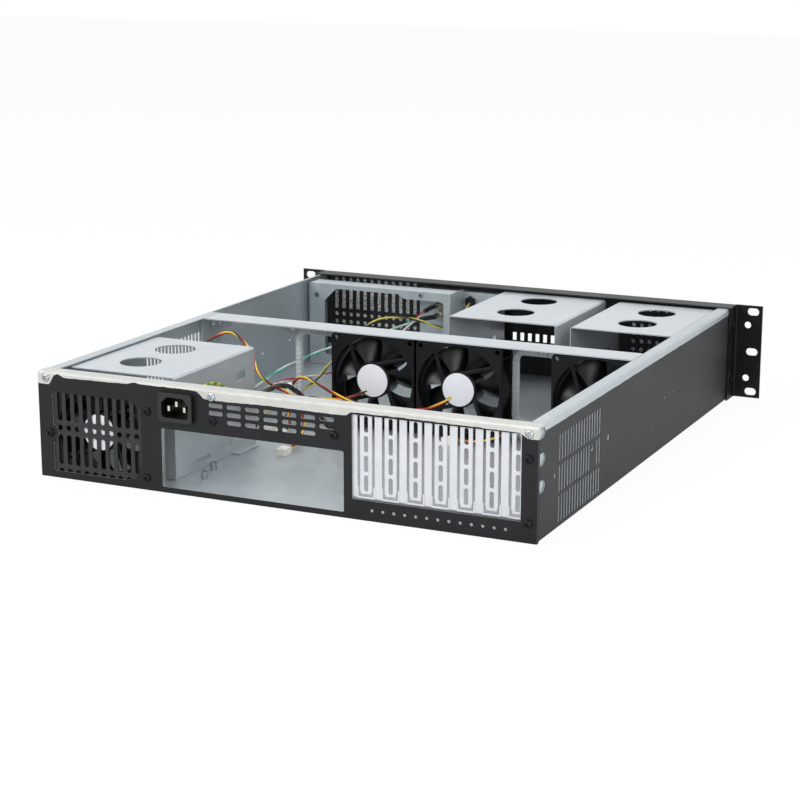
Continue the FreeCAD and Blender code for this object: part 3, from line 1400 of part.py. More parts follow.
def leads():
    """The loose leads and the connectors at their ends."""
    for name, (diameter, places) in LEADS.items():
        tube(name, diameter, places)
    low = size("sheet") + CONNECTOR_FLOOR
    fan_ends = []
    for name in ("lead_rear_fan", "lead_fan_1", "lead_fan_2"):
        u, v, z = LEADS[name][1][-1]
        fan_ends.append(plug_box(name + "_plug", u, v, v - CONNECTOR_LENGTH, 4.2, low, 2 * z - low))
    u, v, z = LEADS["lead_fan_3"][1][-1]
    fan_ends.append(box("lead_fan_3_plug", "%g" % (u - CONNECTOR_LENGTH), "%g" % u, "%g" % (v - 4.2),
                        "%g" % (v + 4.2), "%g" % low, "%g" % (2 * z - low)))
    node("connector_fan_leads", grouped("fan_plugs", fan_ends))
    panel_ends = []
    for name in ("lead_reset", "lead_power", "lead_lamp"):
        u, v, z = LEADS[name][1][-1]
        panel_ends.append(plug_box(name + "_plug", u, v, v - CONNECTOR_LENGTH, 3.6, low, 2 * z - low))
    node("connector_panel_leads", grouped("panel_plugs", panel_ends))
    u, v, z = LEADS["lead_mains"][1][-1]
    node("connector_mains", box("mains_plug", "%g" % (u - 6), "%g" % (u + 6), "%g" % v, "%g" % (v + 15),
                                "%g" % low, "%g" % (2 * z - low)))
    u, v, z = LEADS["lead_fan_2"][1][9]
    node("connector_fan_2_pair", box("fan_2_pair", "%g" % (u - 3), "%g" % (u + 3), "%g" % (v - 3), "%g" % (v + 3),
                                     "%g" % (z + 3), "%g" % (z + 14)))


def build_all():
    base_tray()
    rear_panel()
    fan_grille_plate()
    corner_bracket("rear_corner_bracket_left", "Size.sheet + 2 * Size.fit_gap", "4.9", ())
    corner_bracket("rear_corner_bracket_right", "Size.body_width - 8.8", "Size.body_width - Size.sheet - Size.fit_gap",
                   (REAR_SCREWS[5], REAR_SCREWS[6], TOP_SCREWS[2]))
    rear_fasteners()
    slot_frame()
    for k in range(COVERS):
        slot_cover(k)
    power_inlet()
    fans()
    fan_wall()
    edge_trim("edge_trim_left", "left_window_near", "left_window_far")
    edge_trim("edge_trim_right", "right_window_near", "right_window_far")
    psu_cage()
    drive_cages()
    front_bracket()
    switch_bracket()
    for name, alias in SWITCHES:
        switch(name, alias)
    indicator_lamp()
    front_panel()
    filters()
    ear("ear_left", "left")
    ear("ear_right", "right")
    ear_screws()
    standoffs()
    leads()


def check():
    for item in doc.Objects:
        if "Invalid" in item.State or "Error" in item.State:
            raise RuntimeError("%s failed: %s" % (item.Name, item.State))
    for name, solid in NODES.items():
        if solid.Shape.isNull() or not solid.Shape.isValid() or solid.Shape.Volume <= 0:
            raise RuntimeError("%s has no valid shape" % name)


def export():
    os.makedirs("parts", exist_ok=True)
    for name, solid in NODES.items():
        solid.Shape.exportStep(os.path.join("parts", name + ".step"))


build_all()
doc.recompute()
check()
export()
print("%d nodes written" % len(NODES))
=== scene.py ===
"""Looks for an open rackmount server case: finishes, leads, fans, fasteners, camera and light."""
import math
import random

import bpy
import bmesh
from mathutils import Matrix, Vector


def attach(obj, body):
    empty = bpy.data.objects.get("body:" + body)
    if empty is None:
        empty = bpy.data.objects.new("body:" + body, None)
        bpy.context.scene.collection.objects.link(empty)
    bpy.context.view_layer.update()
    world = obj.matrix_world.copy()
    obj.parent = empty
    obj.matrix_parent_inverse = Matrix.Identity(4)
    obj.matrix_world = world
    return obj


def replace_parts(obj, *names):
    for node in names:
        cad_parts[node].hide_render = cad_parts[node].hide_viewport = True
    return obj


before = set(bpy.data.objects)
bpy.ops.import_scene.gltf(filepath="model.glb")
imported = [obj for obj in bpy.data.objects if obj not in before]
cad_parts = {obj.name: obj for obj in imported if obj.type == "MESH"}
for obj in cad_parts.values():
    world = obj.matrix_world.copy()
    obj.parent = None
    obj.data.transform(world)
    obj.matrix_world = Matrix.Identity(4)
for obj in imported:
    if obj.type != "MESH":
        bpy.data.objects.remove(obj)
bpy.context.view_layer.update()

bl_info = {
    "name": "Server Case",
    "version": (1, 0, 0),
    "blender": (4, 5, 0),
    "location": "View3D > Sidebar > Case",
    "description": "Finishes and small pieces of an open rackmount server case",
    "category": "Object",
}

MM = 0.001
HALF_WIDTH = 215.0
HALF_DEPTH = 252.5
ZINC_DARK, ZINC_LIGHT = "#abb4b9", "#b9c1c5"
# Width in millimetres of a zinc crystal, cells of filter fibre in a metre, and phase of the earth
# wire's bands in radians to the metre.
SPANGLE, FIBRE_CELLS, BAND_PHASE = 6.25, 620.0, 390.0


def at(u, v, z):
    """A point in metres from millimetres: u from the +X wall, v from the rear face, z up."""
    return Vector(((HALF_WIDTH - u) * MM, (HALF_DEPTH - v) * MM, z * MM))


# ---- settings
class CaseSettings(bpy.types.PropertyGroup):
    """Sizes and colours of the case's small pieces and finishes."""

    label_diameter: bpy.props.FloatProperty(
        name="Fan label", description="Diameter of the bare label on a fan's hub",
        default=0.0292, unit="LENGTH")
    wire_diameter: bpy.props.FloatProperty(
        name="Wire", description="Diameter of one insulated wire of a lead", default=0.0017, unit="LENGTH")
    screw_head: bpy.props.FloatProperty(
        name="Screw head", description="Diameter of a pan head", default=0.0066, unit="LENGTH")
    tooth_pitch: bpy.props.FloatProperty(
        name="Trim tooth pitch", description="Distance between the teeth of the edge trim",
        default=0.0042, unit="LENGTH")


def settings():
    """The sizes set in the panel."""
    return bpy.context.scene.case_settings


# ---- node trees
def connect(tree, item, inputs):
    """Link a node's inputs where a socket or a node is given, by its first output; set them elsewhere."""
    for key, value in dict(inputs).items():
        if isinstance(value, bpy.types.Node):
            value = value.outputs[0]
        if isinstance(value, bpy.types.NodeSocket):
            tree.links.new(value, item.inputs[key])
        else:
            item.inputs[key].default_value = value


def add(tree, kind, inputs=(), **values):
    """Add a node, set its properties, and set or link its inputs."""
    item = tree.nodes.new(kind)
    for name, value in values.items():
        setattr(item, name, value)
    connect(tree, item, inputs)
    return item


def linear(code):
    """The linear colour of an sRGB hex code."""
    parts = [int(code[k:k + 2], 16) / 255 for k in (1, 3, 5)]
    return tuple(p / 12.92 if p <= 0.04045 else ((p + 0.055) / 1.055) ** 2.4 for p in parts) + (1.0,)


def material(name):
    """A new material with its tree, its shader and Object coordinates."""
    made = bpy.data.materials.new(name)
    made.use_nodes = True
    tree = made.node_tree
    tree.nodes.clear()
    out = add(tree, "ShaderNodeOutputMaterial")
    shader = add(tree, "ShaderNodeBsdfPrincipled")
    tree.links.new(shader.outputs[0], out.inputs[0])
    place = add(tree, "ShaderNodeTexCoord").outputs["Object"]
    return made, tree, shader, place


def grain(tree, place, size_mm, low, high, detail=3.0):
    """A noise whose grains are about size_mm across, stretched to run from low to high."""
    noise = add(tree, "ShaderNodeTexNoise",
                {"Vector": place, "Scale": 1000.0 / size_mm, "Detail": detail})
    return add(tree, "ShaderNodeMapRange", {"Value": noise, "From Min": 0.3, "From Max": 0.7,
                                            "To Min": low, "To Max": high}).outputs[0]


def complete(tree, shader, inputs, height, depth_mm):
    """Set or link the shader's inputs, and raise its surface by a height that runs from 0 to 1."""
    bump = add(tree, "ShaderNodeBump", {"Height": height, "Distance": depth_mm * MM, "Strength": 1.0})
    connect(tree, shader, inputs)
    connect(tree, shader, {"Normal": bump})


def zinc_spangle(tree, place, dark, light):
    """Colour and roughness of hot-dip galvanised sheet: crystals about 6 mm across."""
    cells = add(tree, "ShaderNodeTexVoronoi", {"Vector": place, "Scale": 1000.0 / SPANGLE})
    tone = add(tree, "ShaderNodeSeparateColor", {0: cells.outputs["Color"]}).outputs[0]
    cloud = grain(tree, place, 90, 0.0, 1.0, 1.0)
    both = add(tree, "ShaderNodeMix", {0: 0.55, 2: tone, 3: cloud}).outputs[0]
    rough = add(tree, "ShaderNodeMapRange", {"Value": tone, "To Min": 0.33, "To Max": 0.39}).outputs[0]
    colour = add(tree, "ShaderNodeMix", {0: both, 6: linear(dark), 7: linear(light)}, data_type="RGBA")
    return colour.outputs[2], rough


def galvanised(name, dark=ZINC_DARK, light=ZINC_LIGHT, metallic=0.5, depth_mm=0.02):
    """Zinc-coated steel sheet, folded: cool grey with faint crystals and a soft sheen."""
    made, tree, shader, place = material(name)
    colour, rough = zinc_spangle(tree, place, dark, light)
    complete(tree, shader, {"Base Color": colour, "Roughness": rough, "Metallic": metallic},
             grain(tree, place, 1.1, 0.0, 1.0), depth_mm)
    return made


def powder_paint(tree, place, dark, light):
    """Colour and height of a powder coat; its real grain of 0.5 mm is drawn at 0.9 mm to show."""
    colour = add(tree, "ShaderNodeMix", {0: grain(tree, place, 60, 0.0, 1.0), 6: linear(dark),
                                         7: linear(light)}, data_type="RGBA")
    return colour.outputs[2], grain(tree, place, 0.9, 0.0, 1.0)


def powder_coat(name, dark="#1c1d1f", light="#232426", rough=0.5, specular=0.4):
    """Black powder coat, baked: dark and even, with a fine orange peel that breaks up its sheen."""
    made, tree, shader, place = material(name)
    colour, height = powder_paint(tree, place, dark, light)
    complete(tree, shader, {"Base Color": colour, "Roughness": rough, "Specular IOR Level": specular},
             height, 0.03)
    return made


def coated_sheet(name, painted, paint_dark, paint_light, zinc_dark=ZINC_DARK, zinc_light=ZINC_LIGHT):
    """Galvanised sheet with powder coat where painted says so: bare inside, black outside."""
    made, tree, shader, place = material(name)
    zinc, zinc_rough = zinc_spangle(tree, place, zinc_dark, zinc_light)
    paint, height = powder_paint(tree, place, paint_dark, paint_light)
    mask = painted(tree, place)
    colour = add(tree, "ShaderNodeMix", {0: mask, 6: zinc, 7: paint}, data_type="RGBA").outputs[2]
    metal = add(tree, "ShaderNodeMapRange", {"Value": mask, "To Min": 0.55, "To Max": 0.0}).outputs[0]
    rough = add(tree, "ShaderNodeMix", {0: mask, 2: zinc_rough, 3: 0.5}).outputs[0]
    complete(tree, shader, {"Base Color": colour, "Metallic": metal, "Roughness": rough,
                            "Specular IOR Level": 0.25}, height, 0.025)
    return made


def varied(tree, place, size_mm, code, darker, lighter=1.0):
    """A colour that drifts in patches of size_mm between two multiples of a hex code."""
    ends = [tuple(min(1.0, c * share) for c in linear(code)[:3]) + (1.0,) for share in (darker, lighter)]
    return add(tree, "ShaderNodeMix", {0: grain(tree, place, size_mm, 0.0, 1.0), 6: ends[0], 7: ends[1]},
               data_type="RGBA").outputs[2]


def moulded(name, code, rough=0.45, spread=0.06, size_mm=0.6, depth_mm=0.02, specular=0.5):
    """Moulded plastic with a fine spark-eroded texture."""
    made, tree, shader, place = material(name)
    colour = varied(tree, place, 14, code, 1 - spread, 1 + spread)
    complete(tree, shader, {"Base Color": colour, "Roughness": rough, "Specular IOR Level": specular},
             grain(tree, place, size_mm, 0.0, 1.0), depth_mm)
    return made


def plated(name, code, rough=0.28, metallic=1.0):
    """Plated steel or brass: bright, with a roughness that drifts over 4 mm and a fine surface."""
    made, tree, shader, place = material(name)
    complete(tree, shader, {"Base Color": varied(tree, place, 20, code, 0.9), "Metallic": metallic,
                            "Roughness": grain(tree, place, 4, rough - 0.06, rough + 0.06)},
             grain(tree, place, 0.8, 0.0, 1.0), 0.01)
    return made


# The paint's upper edge on the rear face: distance from the +X wall and height, in millimetres.
PAINT_EDGE = (
    (0, 77), (10.7, 77), (14.9, 84), (18.8, 86.1), (24.5, 83.5), (59.5, 84), (84.6, 84.5), (90.3, 86.2),
    (95.7, 85.2), (142.1, 85.4), (147.4, 85.2), (153.5, 79.9), (164.2, 79), (203.7, 80), (271.8, 79.5),
    (276.8, 79.6), (280.1, 82.7), (321.2, 82.9), (416, 82), (419.1, 79.8), (422.2, 77.6), (430, 78.1),
)

# The curve that draws the edge holds its heights as shares of this span, in millimetres.
EDGE_LOW, EDGE_HIGH = 70.0, 90.0
# Where paint begins, in metres: rear face, side lips of the rear panel, outer faces of the walls,
# and the height where the walls' bare strip begins.
REAR_SKIN, LIP_SKIN, WALL_SKIN, WALL_PAINT_TOP = 0.2519, 0.2148, 0.21455, 0.0815


def outer_side(tree, axis, skin):
    """1 further out than a skin of the case, on its left and its right."""
    side = add(tree, "ShaderNodeMath", {0: axis}, operation="ABSOLUTE")
    return add(tree, "ShaderNodeMath", {0: side, 1: skin}, operation="GREATER_THAN")


def only_below(tree, axis, place, outer, height, size_mm, waver):
    """A mask, kept below a height in metres; its edge wavers over size_mm."""
    wave = grain(tree, place, size_mm, -waver, waver)
    level = add(tree, "ShaderNodeMath", {0: axis.outputs[2], 1: wave}, operation="ADD")
    below = add(tree, "ShaderNodeMath", {0: level, 1: height}, operation="LESS_THAN")
    return add(tree, "ShaderNodeMath", {0: outer, 1: below}, operation="MULTIPLY").outputs[0]


def rear_face_mask(tree, place):
    """1 where the rear panel is painted: its outer face below the bare top band, and its side lips."""
    axis = add(tree, "ShaderNodeSeparateXYZ", {0: place})
    along = add(tree, "ShaderNodeMapRange", {"Value": axis, "From Min": HALF_WIDTH * MM,
                                             "From Max": -HALF_WIDTH * MM})
    edge = add(tree, "ShaderNodeFloatCurve", {"Value": along})
    curve = edge.mapping.curves[0]
    points = [(u / (2 * HALF_WIDTH), (z - EDGE_LOW) / (EDGE_HIGH - EDGE_LOW)) for u, z in PAINT_EDGE]
    while len(curve.points) < len(points):
        curve.points.new(0.5, 0.5)
    for point, (across, up) in zip(curve.points, points):
        point.location = (across, up)
        point.handle_type = "VECTOR"
    edge.mapping.update()
    height = add(tree, "ShaderNodeMapRange", {"Value": edge, "To Min": EDGE_LOW * MM,
                                              "To Max": EDGE_HIGH * MM})
    rear = add(tree, "ShaderNodeMath", {0: axis.outputs[1], 1: REAR_SKIN}, operation="GREATER_THAN")
    outer = add(tree, "ShaderNodeMath", {0: rear, 1: outer_side(tree, axis, LIP_SKIN)}, operation="MAXIMUM")
    return only_below(tree, axis, place, outer, height, 9, 0.0003)


def tray_mask(tree, place):
    """1 on the outer faces of the side walls, apart from a bare strip along their top edge."""
    axis = add(tree, "ShaderNodeSeparateXYZ", {0: place})
    outer = outer_side(tree, axis, WALL_SKIN)
    return only_below(tree, axis, place, outer, WALL_PAINT_TOP, 12, 0.0002)


def filter_fibre():
    """Bonded polyester filter: bright threads round dark gaps of about 1.6 mm, in drifting clumps."""
    made, tree, shader, place = material("polyester_filter_fibre")
    cells = add(tree, "ShaderNodeTexVoronoi", {"Vector": place, "Scale": FIBRE_CELLS},
                feature="DISTANCE_TO_EDGE")
    edge = add(tree, "ShaderNodeMapRange", {"Value": cells, "From Min": 0.03, "From Max": 0.2})
    cloud = grain(tree, place, 1.5, -0.1, 1.25)
    gap = add(tree, "ShaderNodeMath", {0: edge, 1: cloud}, operation="MULTIPLY", use_clamp=True)
    colour = add(tree, "ShaderNodeMix", {0: gap, 6: linear("#fbfbf8"), 7: linear("#1d1e1f")},
                 data_type="RGBA")
    complete(tree, shader, {"Base Color": colour.outputs[2], "Roughness": 0.9, "Sheen Weight": 0.3},
             cloud, 0.4)
    return made


def pvc(name, code):
    """Extruded PVC insulation: smooth, slightly glossy, with a little waviness from the die."""
    made, tree, shader, place = material(name)
    complete(tree, shader, {"Base Color": varied(tree, place, 8, code, 0.82), "Roughness": 0.38},
             grain(tree, place, 2.0, 0.0, 1.0), 0.02)
    return made


def striped_pvc():
    """Green PVC insulation with yellow bands about every 16 mm."""
    made, tree, shader, place = material("pvc_green_and_yellow")
    axis = add(tree, "ShaderNodeSeparateXYZ", {0: place})
    along = add(tree, "ShaderNodeMath", {0: axis.outputs[1], 1: axis.outputs[2]}, operation="ADD")
    phase = add(tree, "ShaderNodeMath", {0: along, 1: BAND_PHASE}, operation="MULTIPLY")
    wave = add(tree, "ShaderNodeMath", {0: phase}, operation="SINE")
    band = add(tree, "ShaderNodeMath", {0: wave, 1: 0.1}, operation="GREATER_THAN")
    colour = add(tree, "ShaderNodeMix", {0: band, 6: linear("#3f8f3c"), 7: linear("#d9c21f")},
                 data_type="RGBA")
    complete(tree, shader, {"Base Color": colour.outputs[2], "Roughness": 0.4},
             grain(tree, place, 2.0, 0.0, 1.0), 0.02)
    return made


MATERIALS = {}


def make_materials():
    """Every finish of the case, named for the real one."""
    MATERIALS.update({
        "rear": coated_sheet("powder_coated_rear_panel", rear_face_mask, "#121315", "#191a1c",
                             "#bcbcb9", "#c8c8c5"),
        "tray": coated_sheet("powder_coated_tray", tray_mask, "#1d1e20", "#27282a"),
        "black": powder_coat("powder_coated_steel"),
        "ear": powder_coat("powder_coated_ear", "#08080a", "#0d0e10", 0.45, 0.25),
        "zinc": galvanised("galvanised_steel"),
        # Zinc of the cages; also put on the slot frame's foot as painted shade.
        "zinc_cage_and_foot_shade": galvanised("galvanised_steel_cage_and_foot_shade", "#b4bbc0", "#c2c8cc", 0.45),
        # Bright zinc plate on pressed sheet: nearly white in soft light.
        "cover": galvanised("bright_zinc_pressing", "#bfc1c6", "#ced0d4", 0.35, 0.01),
        "fan": moulded("pbt_fan_frame", "#0b0b0d", 0.46, specular=0.22),
        "blade": moulded("pbt_fan_blade", "#09090b", 0.34, specular=0.3),
        "label": moulded("vinyl_label", "#dcdce2", 0.3, 0.02, 4.0, 0.01),
        "trim": moulded("pvc_edge_trim", "#c4c8ca", 0.5),
        "inlet": moulded("nylon_inlet_body", "#0e0e10", 0.35),
        "pin": plated("nickel_plated_brass", "#d8d3c6", 0.22),
        "bright": plated("zinc_plated_steel", "#b4b8bc", 0.26),
        "dark_screw": plated("black_zinc_screw", "#232426", 0.35, 0.8),
        "fibre": filter_fibre(),
        "button": moulded("abs_button", "#17171a", 0.4),
        "nylon": moulded("nylon_connector", "#e9e7df", 0.45),
        "nylon_black": moulded("nylon_connector_black", "#151517", 0.45),
        # Polyolefin sleeve, shrunk on.
        "shrink": moulded("heat_shrink_sleeve", "#161618", 0.5, 0.1, 3.0, 0.05),
        "yellow": pvc("pvc_yellow", "#ecc62c"),
        "lime": pvc("pvc_yellow_green", "#cfc440"),
        "red": pvc("pvc_red", "#a3241b"),
        "crimson": pvc("pvc_crimson", "#b3284c"),
        "wire_black": pvc("pvc_black", "#131315"),
        "white": pvc("pvc_white", "#e6e6e1"),
        "teal": pvc("pvc_green_blue", "#46bfa4"),
        "brown": pvc("pvc_brown", "#4a2f1f"),
        "earth": striped_pvc(),
    })


# ---- pieces
def placed(name, data):
    """A new object of the scene."""
    made = bpy.data.objects.new(name, data)
    bpy.context.scene.collection.objects.link(made)
    return made


def curve_mesh(name, shape):
    """The mesh of a curve, which is removed."""
    holder = bpy.data.objects.new(name, shape)
    mesh = bpy.data.meshes.new_from_object(holder)
    bpy.data.objects.remove(holder)
    bpy.data.curves.remove(shape)
    return mesh


def show(name, mesh, body="case"):
    """Put a finished mesh into the scene, riding on a body."""
    made = placed(name, mesh)
    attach(made, body)
    return made


def smooth(mesh, angle=35.0):
    """Smooth shading with sharp edges kept."""
    work = bmesh.new()
    work.from_mesh(mesh)
    for face in work.faces:
        face.smooth = True
    for edge in work.edges:
        edge.smooth = not (len(edge.link_faces) == 2 and edge.calc_face_angle(0.0) > math.radians(angle))
    work.to_mesh(mesh)
    work.free()
    return mesh


def circle(u, z, radius, steps=32):
    """Points round a circle."""
    turns = [math.tau * k / steps for k in range(steps)]
    return [(u + radius * math.cos(turn), z + radius * math.sin(turn)) for turn in turns]


def rounded(low_u, low_z, high_u, high_z, radius, steps=6):
    """A rectangle with round corners, all in millimetres."""
    points = []
    corners = ((high_u - radius, high_z - radius, 0), (low_u + radius, high_z - radius, 90),
               (low_u + radius, low_z + radius, 180), (high_u - radius, low_z + radius, 270))
    for u, z, start in corners:
        for k in range(steps + 1):
            turn = math.radians(start + 90.0 * k / steps)
            points.append((u + radius * math.cos(turn), z + radius * math.sin(turn)))
    return points


def bridge(work, rings):
    """Faces between neighbouring rings of vertices; a ring may be a single one."""
    made = []
    for first, second in zip(rings, rings[1:]):
        count = max(len(first), len(second))
        for k in range(count):
            j = (k + 1) % count
            corners = (first[k % len(first)], first[j % len(first)],
                       second[j % len(second)], second[k % len(second)])
            made.append(work.faces.new(tuple(dict.fromkeys(corners))))
    return made


def plate_mesh(name, outlines, start, thickness, bevel=0.0, plane="across"):
    """A flat plate with holes, from closed outlines in millimetres; the first is its rim."""
    shape = bpy.data.curves.new(name, "CURVE")
    shape.dimensions = "2D"
    shape.fill_mode = "BOTH"
    shape.extrude = (thickness / 2 - bevel) * MM
    shape.bevel_depth = bevel * MM
    shape.bevel_resolution = 1
    shape.offset = -bevel * MM
    for outline in outlines:
        spline = shape.splines.new("POLY")
        spline.points.add(len(outline) - 1)
        for point, (a, b) in zip(spline.points, outline):
            up = b if plane == "across" else HALF_DEPTH - b
            point.co = ((HALF_WIDTH - a) * MM, up * MM, 0.0, 1.0)
        spline.use_cyclic_u = True
    mesh = curve_mesh(name, shape)
    if plane == "across":
        mesh.transform(Matrix.Translation(Vector((0, (HALF_DEPTH - start - thickness / 2) * MM, 0)))
                       @ Matrix.Rotation(math.radians(90), 4, "X"))
    else:
        mesh.transform(Matrix.Translation(Vector((0, 0, (start + thickness / 2) * MM))))
    return mesh


def lathe(profile, centre, steps=32):
    """A turned piece round an axis along Y. Profile points are (radius, v) in millimetres from the axis."""
    u, z = centre
    work = bmesh.new()
    rings = []
    for radius, v in profile:
        ring = circle(u, z, radius, steps) if radius else [(u, z)]
        rings.append([work.verts.new(at(across, v, up)) for across, up in ring])
    bridge(work, rings)
    return meshed("turned", work)


def merged(name, meshes, finishes):
    """One mesh from several, each with its own material."""
    work = bmesh.new()
    for index, mesh in enumerate(meshes):
        count = len(work.faces)
        work.from_mesh(mesh)
        work.faces.ensure_lookup_table()
        for face in work.faces[count:]:
            face.material_index = index
        bpy.data.meshes.remove(mesh)
    result = written(name, work)
    for finish in finishes:
        result.materials.append(MATERIALS[finish])
    return result


def repeated(name, unit, places, finish, turn=0.0):
    """Geometry Nodes: one unit mesh set on every place, realised and given its material."""
    source = placed(name + "_unit", unit)
    points = bpy.data.meshes.new(name + "_places")
    points.from_pydata([tuple(p) for p in places], [], [])
    holder = placed(name + "_row", points)
    tree = bpy.data.node_groups.new(name + "_tree", "GeometryNodeTree")
    tree.interface.new_socket("Geometry", in_out="INPUT", socket_type="NodeSocketGeometry")
    unit_socket = tree.interface.new_socket("Unit", in_out="INPUT", socket_type="NodeSocketObject")
    turn_socket = tree.interface.new_socket("Turn", in_out="INPUT", socket_type="NodeSocketFloat")
    tree.interface.new_socket("Geometry", in_out="OUTPUT", socket_type="NodeSocketGeometry")
    entry = add(tree, "NodeGroupInput")
    info = add(tree, "GeometryNodeObjectInfo", {"Object": entry.outputs["Unit"]})
    angle = add(tree, "FunctionNodeRandomValue", {"Seed": 7}, data_type="FLOAT")
    tree.links.new(entry.outputs["Turn"], angle.inputs[3])
    spin = add(tree, "ShaderNodeCombineXYZ", {1: angle.outputs[1]})
    pick = add(tree, "GeometryNodeInstanceOnPoints",
               {"Points": entry.outputs["Geometry"], "Instance": info.outputs["Geometry"],
                "Rotation": spin})
    real = add(tree, "GeometryNodeRealizeInstances", {0: pick})
    finished = add(tree, "GeometryNodeSetMaterial",
                   {"Geometry": real, "Material": MATERIALS[finish]})
    leave = add(tree, "NodeGroupOutput")
    tree.links.new(finished.outputs[0], leave.inputs[0])
    modifier = holder.modifiers.new(name, "NODES")
    modifier.node_group = tree
    modifier[unit_socket.identifier] = source
    modifier[turn_socket.identifier] = turn
    bpy.context.view_layer.update()
    ready = holder.evaluated_get(bpy.context.evaluated_depsgraph_get())
    mesh = bpy.data.meshes.new_from_object(ready)
    mesh.name = name
    for item in (source, holder):
        bpy.data.objects.remove(item)
    bpy.data.node_groups.remove(tree)
    return mesh


def drive_head(diameter, height, facing):
    """A pan head along Y with a crossed recess; facing is +1 where it faces +Y. In millimetres round 0."""
    radius, steps = diameter / 2, 24
    arm, slot_half, deep = radius * 0.58, radius * 0.17, height * 0.55
    work = bmesh.new()
    rings = []
    for r, y in ((radius, 0.0), (radius, height * 0.45), (radius * 0.86, height * 0.82),
                 (radius * 0.7, height)):
        rings.append([work.verts.new((a * MM, y * MM * facing, b * MM)) for a, b in circle(0, 0, r, steps)])
    bridge(work, rings)
    work.faces.new(rings[0])
    cross = ((slot_half, arm), (slot_half, slot_half), (arm, slot_half), (arm, -slot_half),
             (slot_half, -slot_half), (slot_half, -arm), (-slot_half, -arm), (-slot_half, -slot_half),
             (-arm, -slot_half), (-arm, slot_half), (-slot_half, slot_half), (-slot_half, arm))
    upper = [work.verts.new((a * MM, height * MM * facing, b * MM)) for a, b in cross]
    lower = [work.verts.new((a * 0.8 * MM, (height - deep) * MM * facing, b * 0.8 * MM)) for a, b in cross]
    bridge(work, [upper, lower])
    work.faces.new(lower)
    edges = [work.edges.get((ring[k - 1], ring[k])) for ring in (rings[-1], upper) for k in range(len(ring))]
    bmesh.ops.triangle_fill(work, use_beauty=True, use_dissolve=False, edges=edges)
    return meshed("pan_head", work, 40)


def strip(work, sections):
    """Faces between rings of points that have equal counts, closed round and capped."""
    rings = [[work.verts.new(place) for place in section] for section in sections]
    bridge(work, rings)
    work.faces.new(rings[0])
    work.faces.new(rings[-1][::-1])


def written(name, work):
    """A new mesh from the work done so far."""
    mesh = bpy.data.meshes.new(name)
    work.to_mesh(mesh)
    work.free()
    return mesh


def meshed(name, work, angle=35.0):
    """A smooth-shaded mesh from the work done so far, with its faces turned outward."""
    bmesh.ops.recalc_face_normals(work, faces=work.faces)
    return smooth(written(name, work), angle)


# ---- camera
CAMERA_LENS, CAMERA_SENSOR = 88.97, 36.0
CAMERA_PLACE = (-0.7063, 1.5253, 0.4406)
CAMERA_AHEAD = (0.4143, -0.8785, -0.2377)


class CASE_OT_camera(bpy.types.Operator):
    """Place the camera behind the case, above its -X corner"""

    bl_idname = "case.camera"
    bl_label = "Camera"

    def execute(self, context):
        data = bpy.data.cameras.new("camera")
        data.lens = CAMERA_LENS
        data.sensor_width = CAMERA_SENSOR
        data.clip_end = 20.0
        camera = placed("camera", data)
        camera.location = CAMERA_PLACE
        camera.rotation_euler = Vector(CAMERA_AHEAD).to_track_quat("-Z", "Y").to_euler()
        context.scene.camera = camera
        return {"FINISHED"}


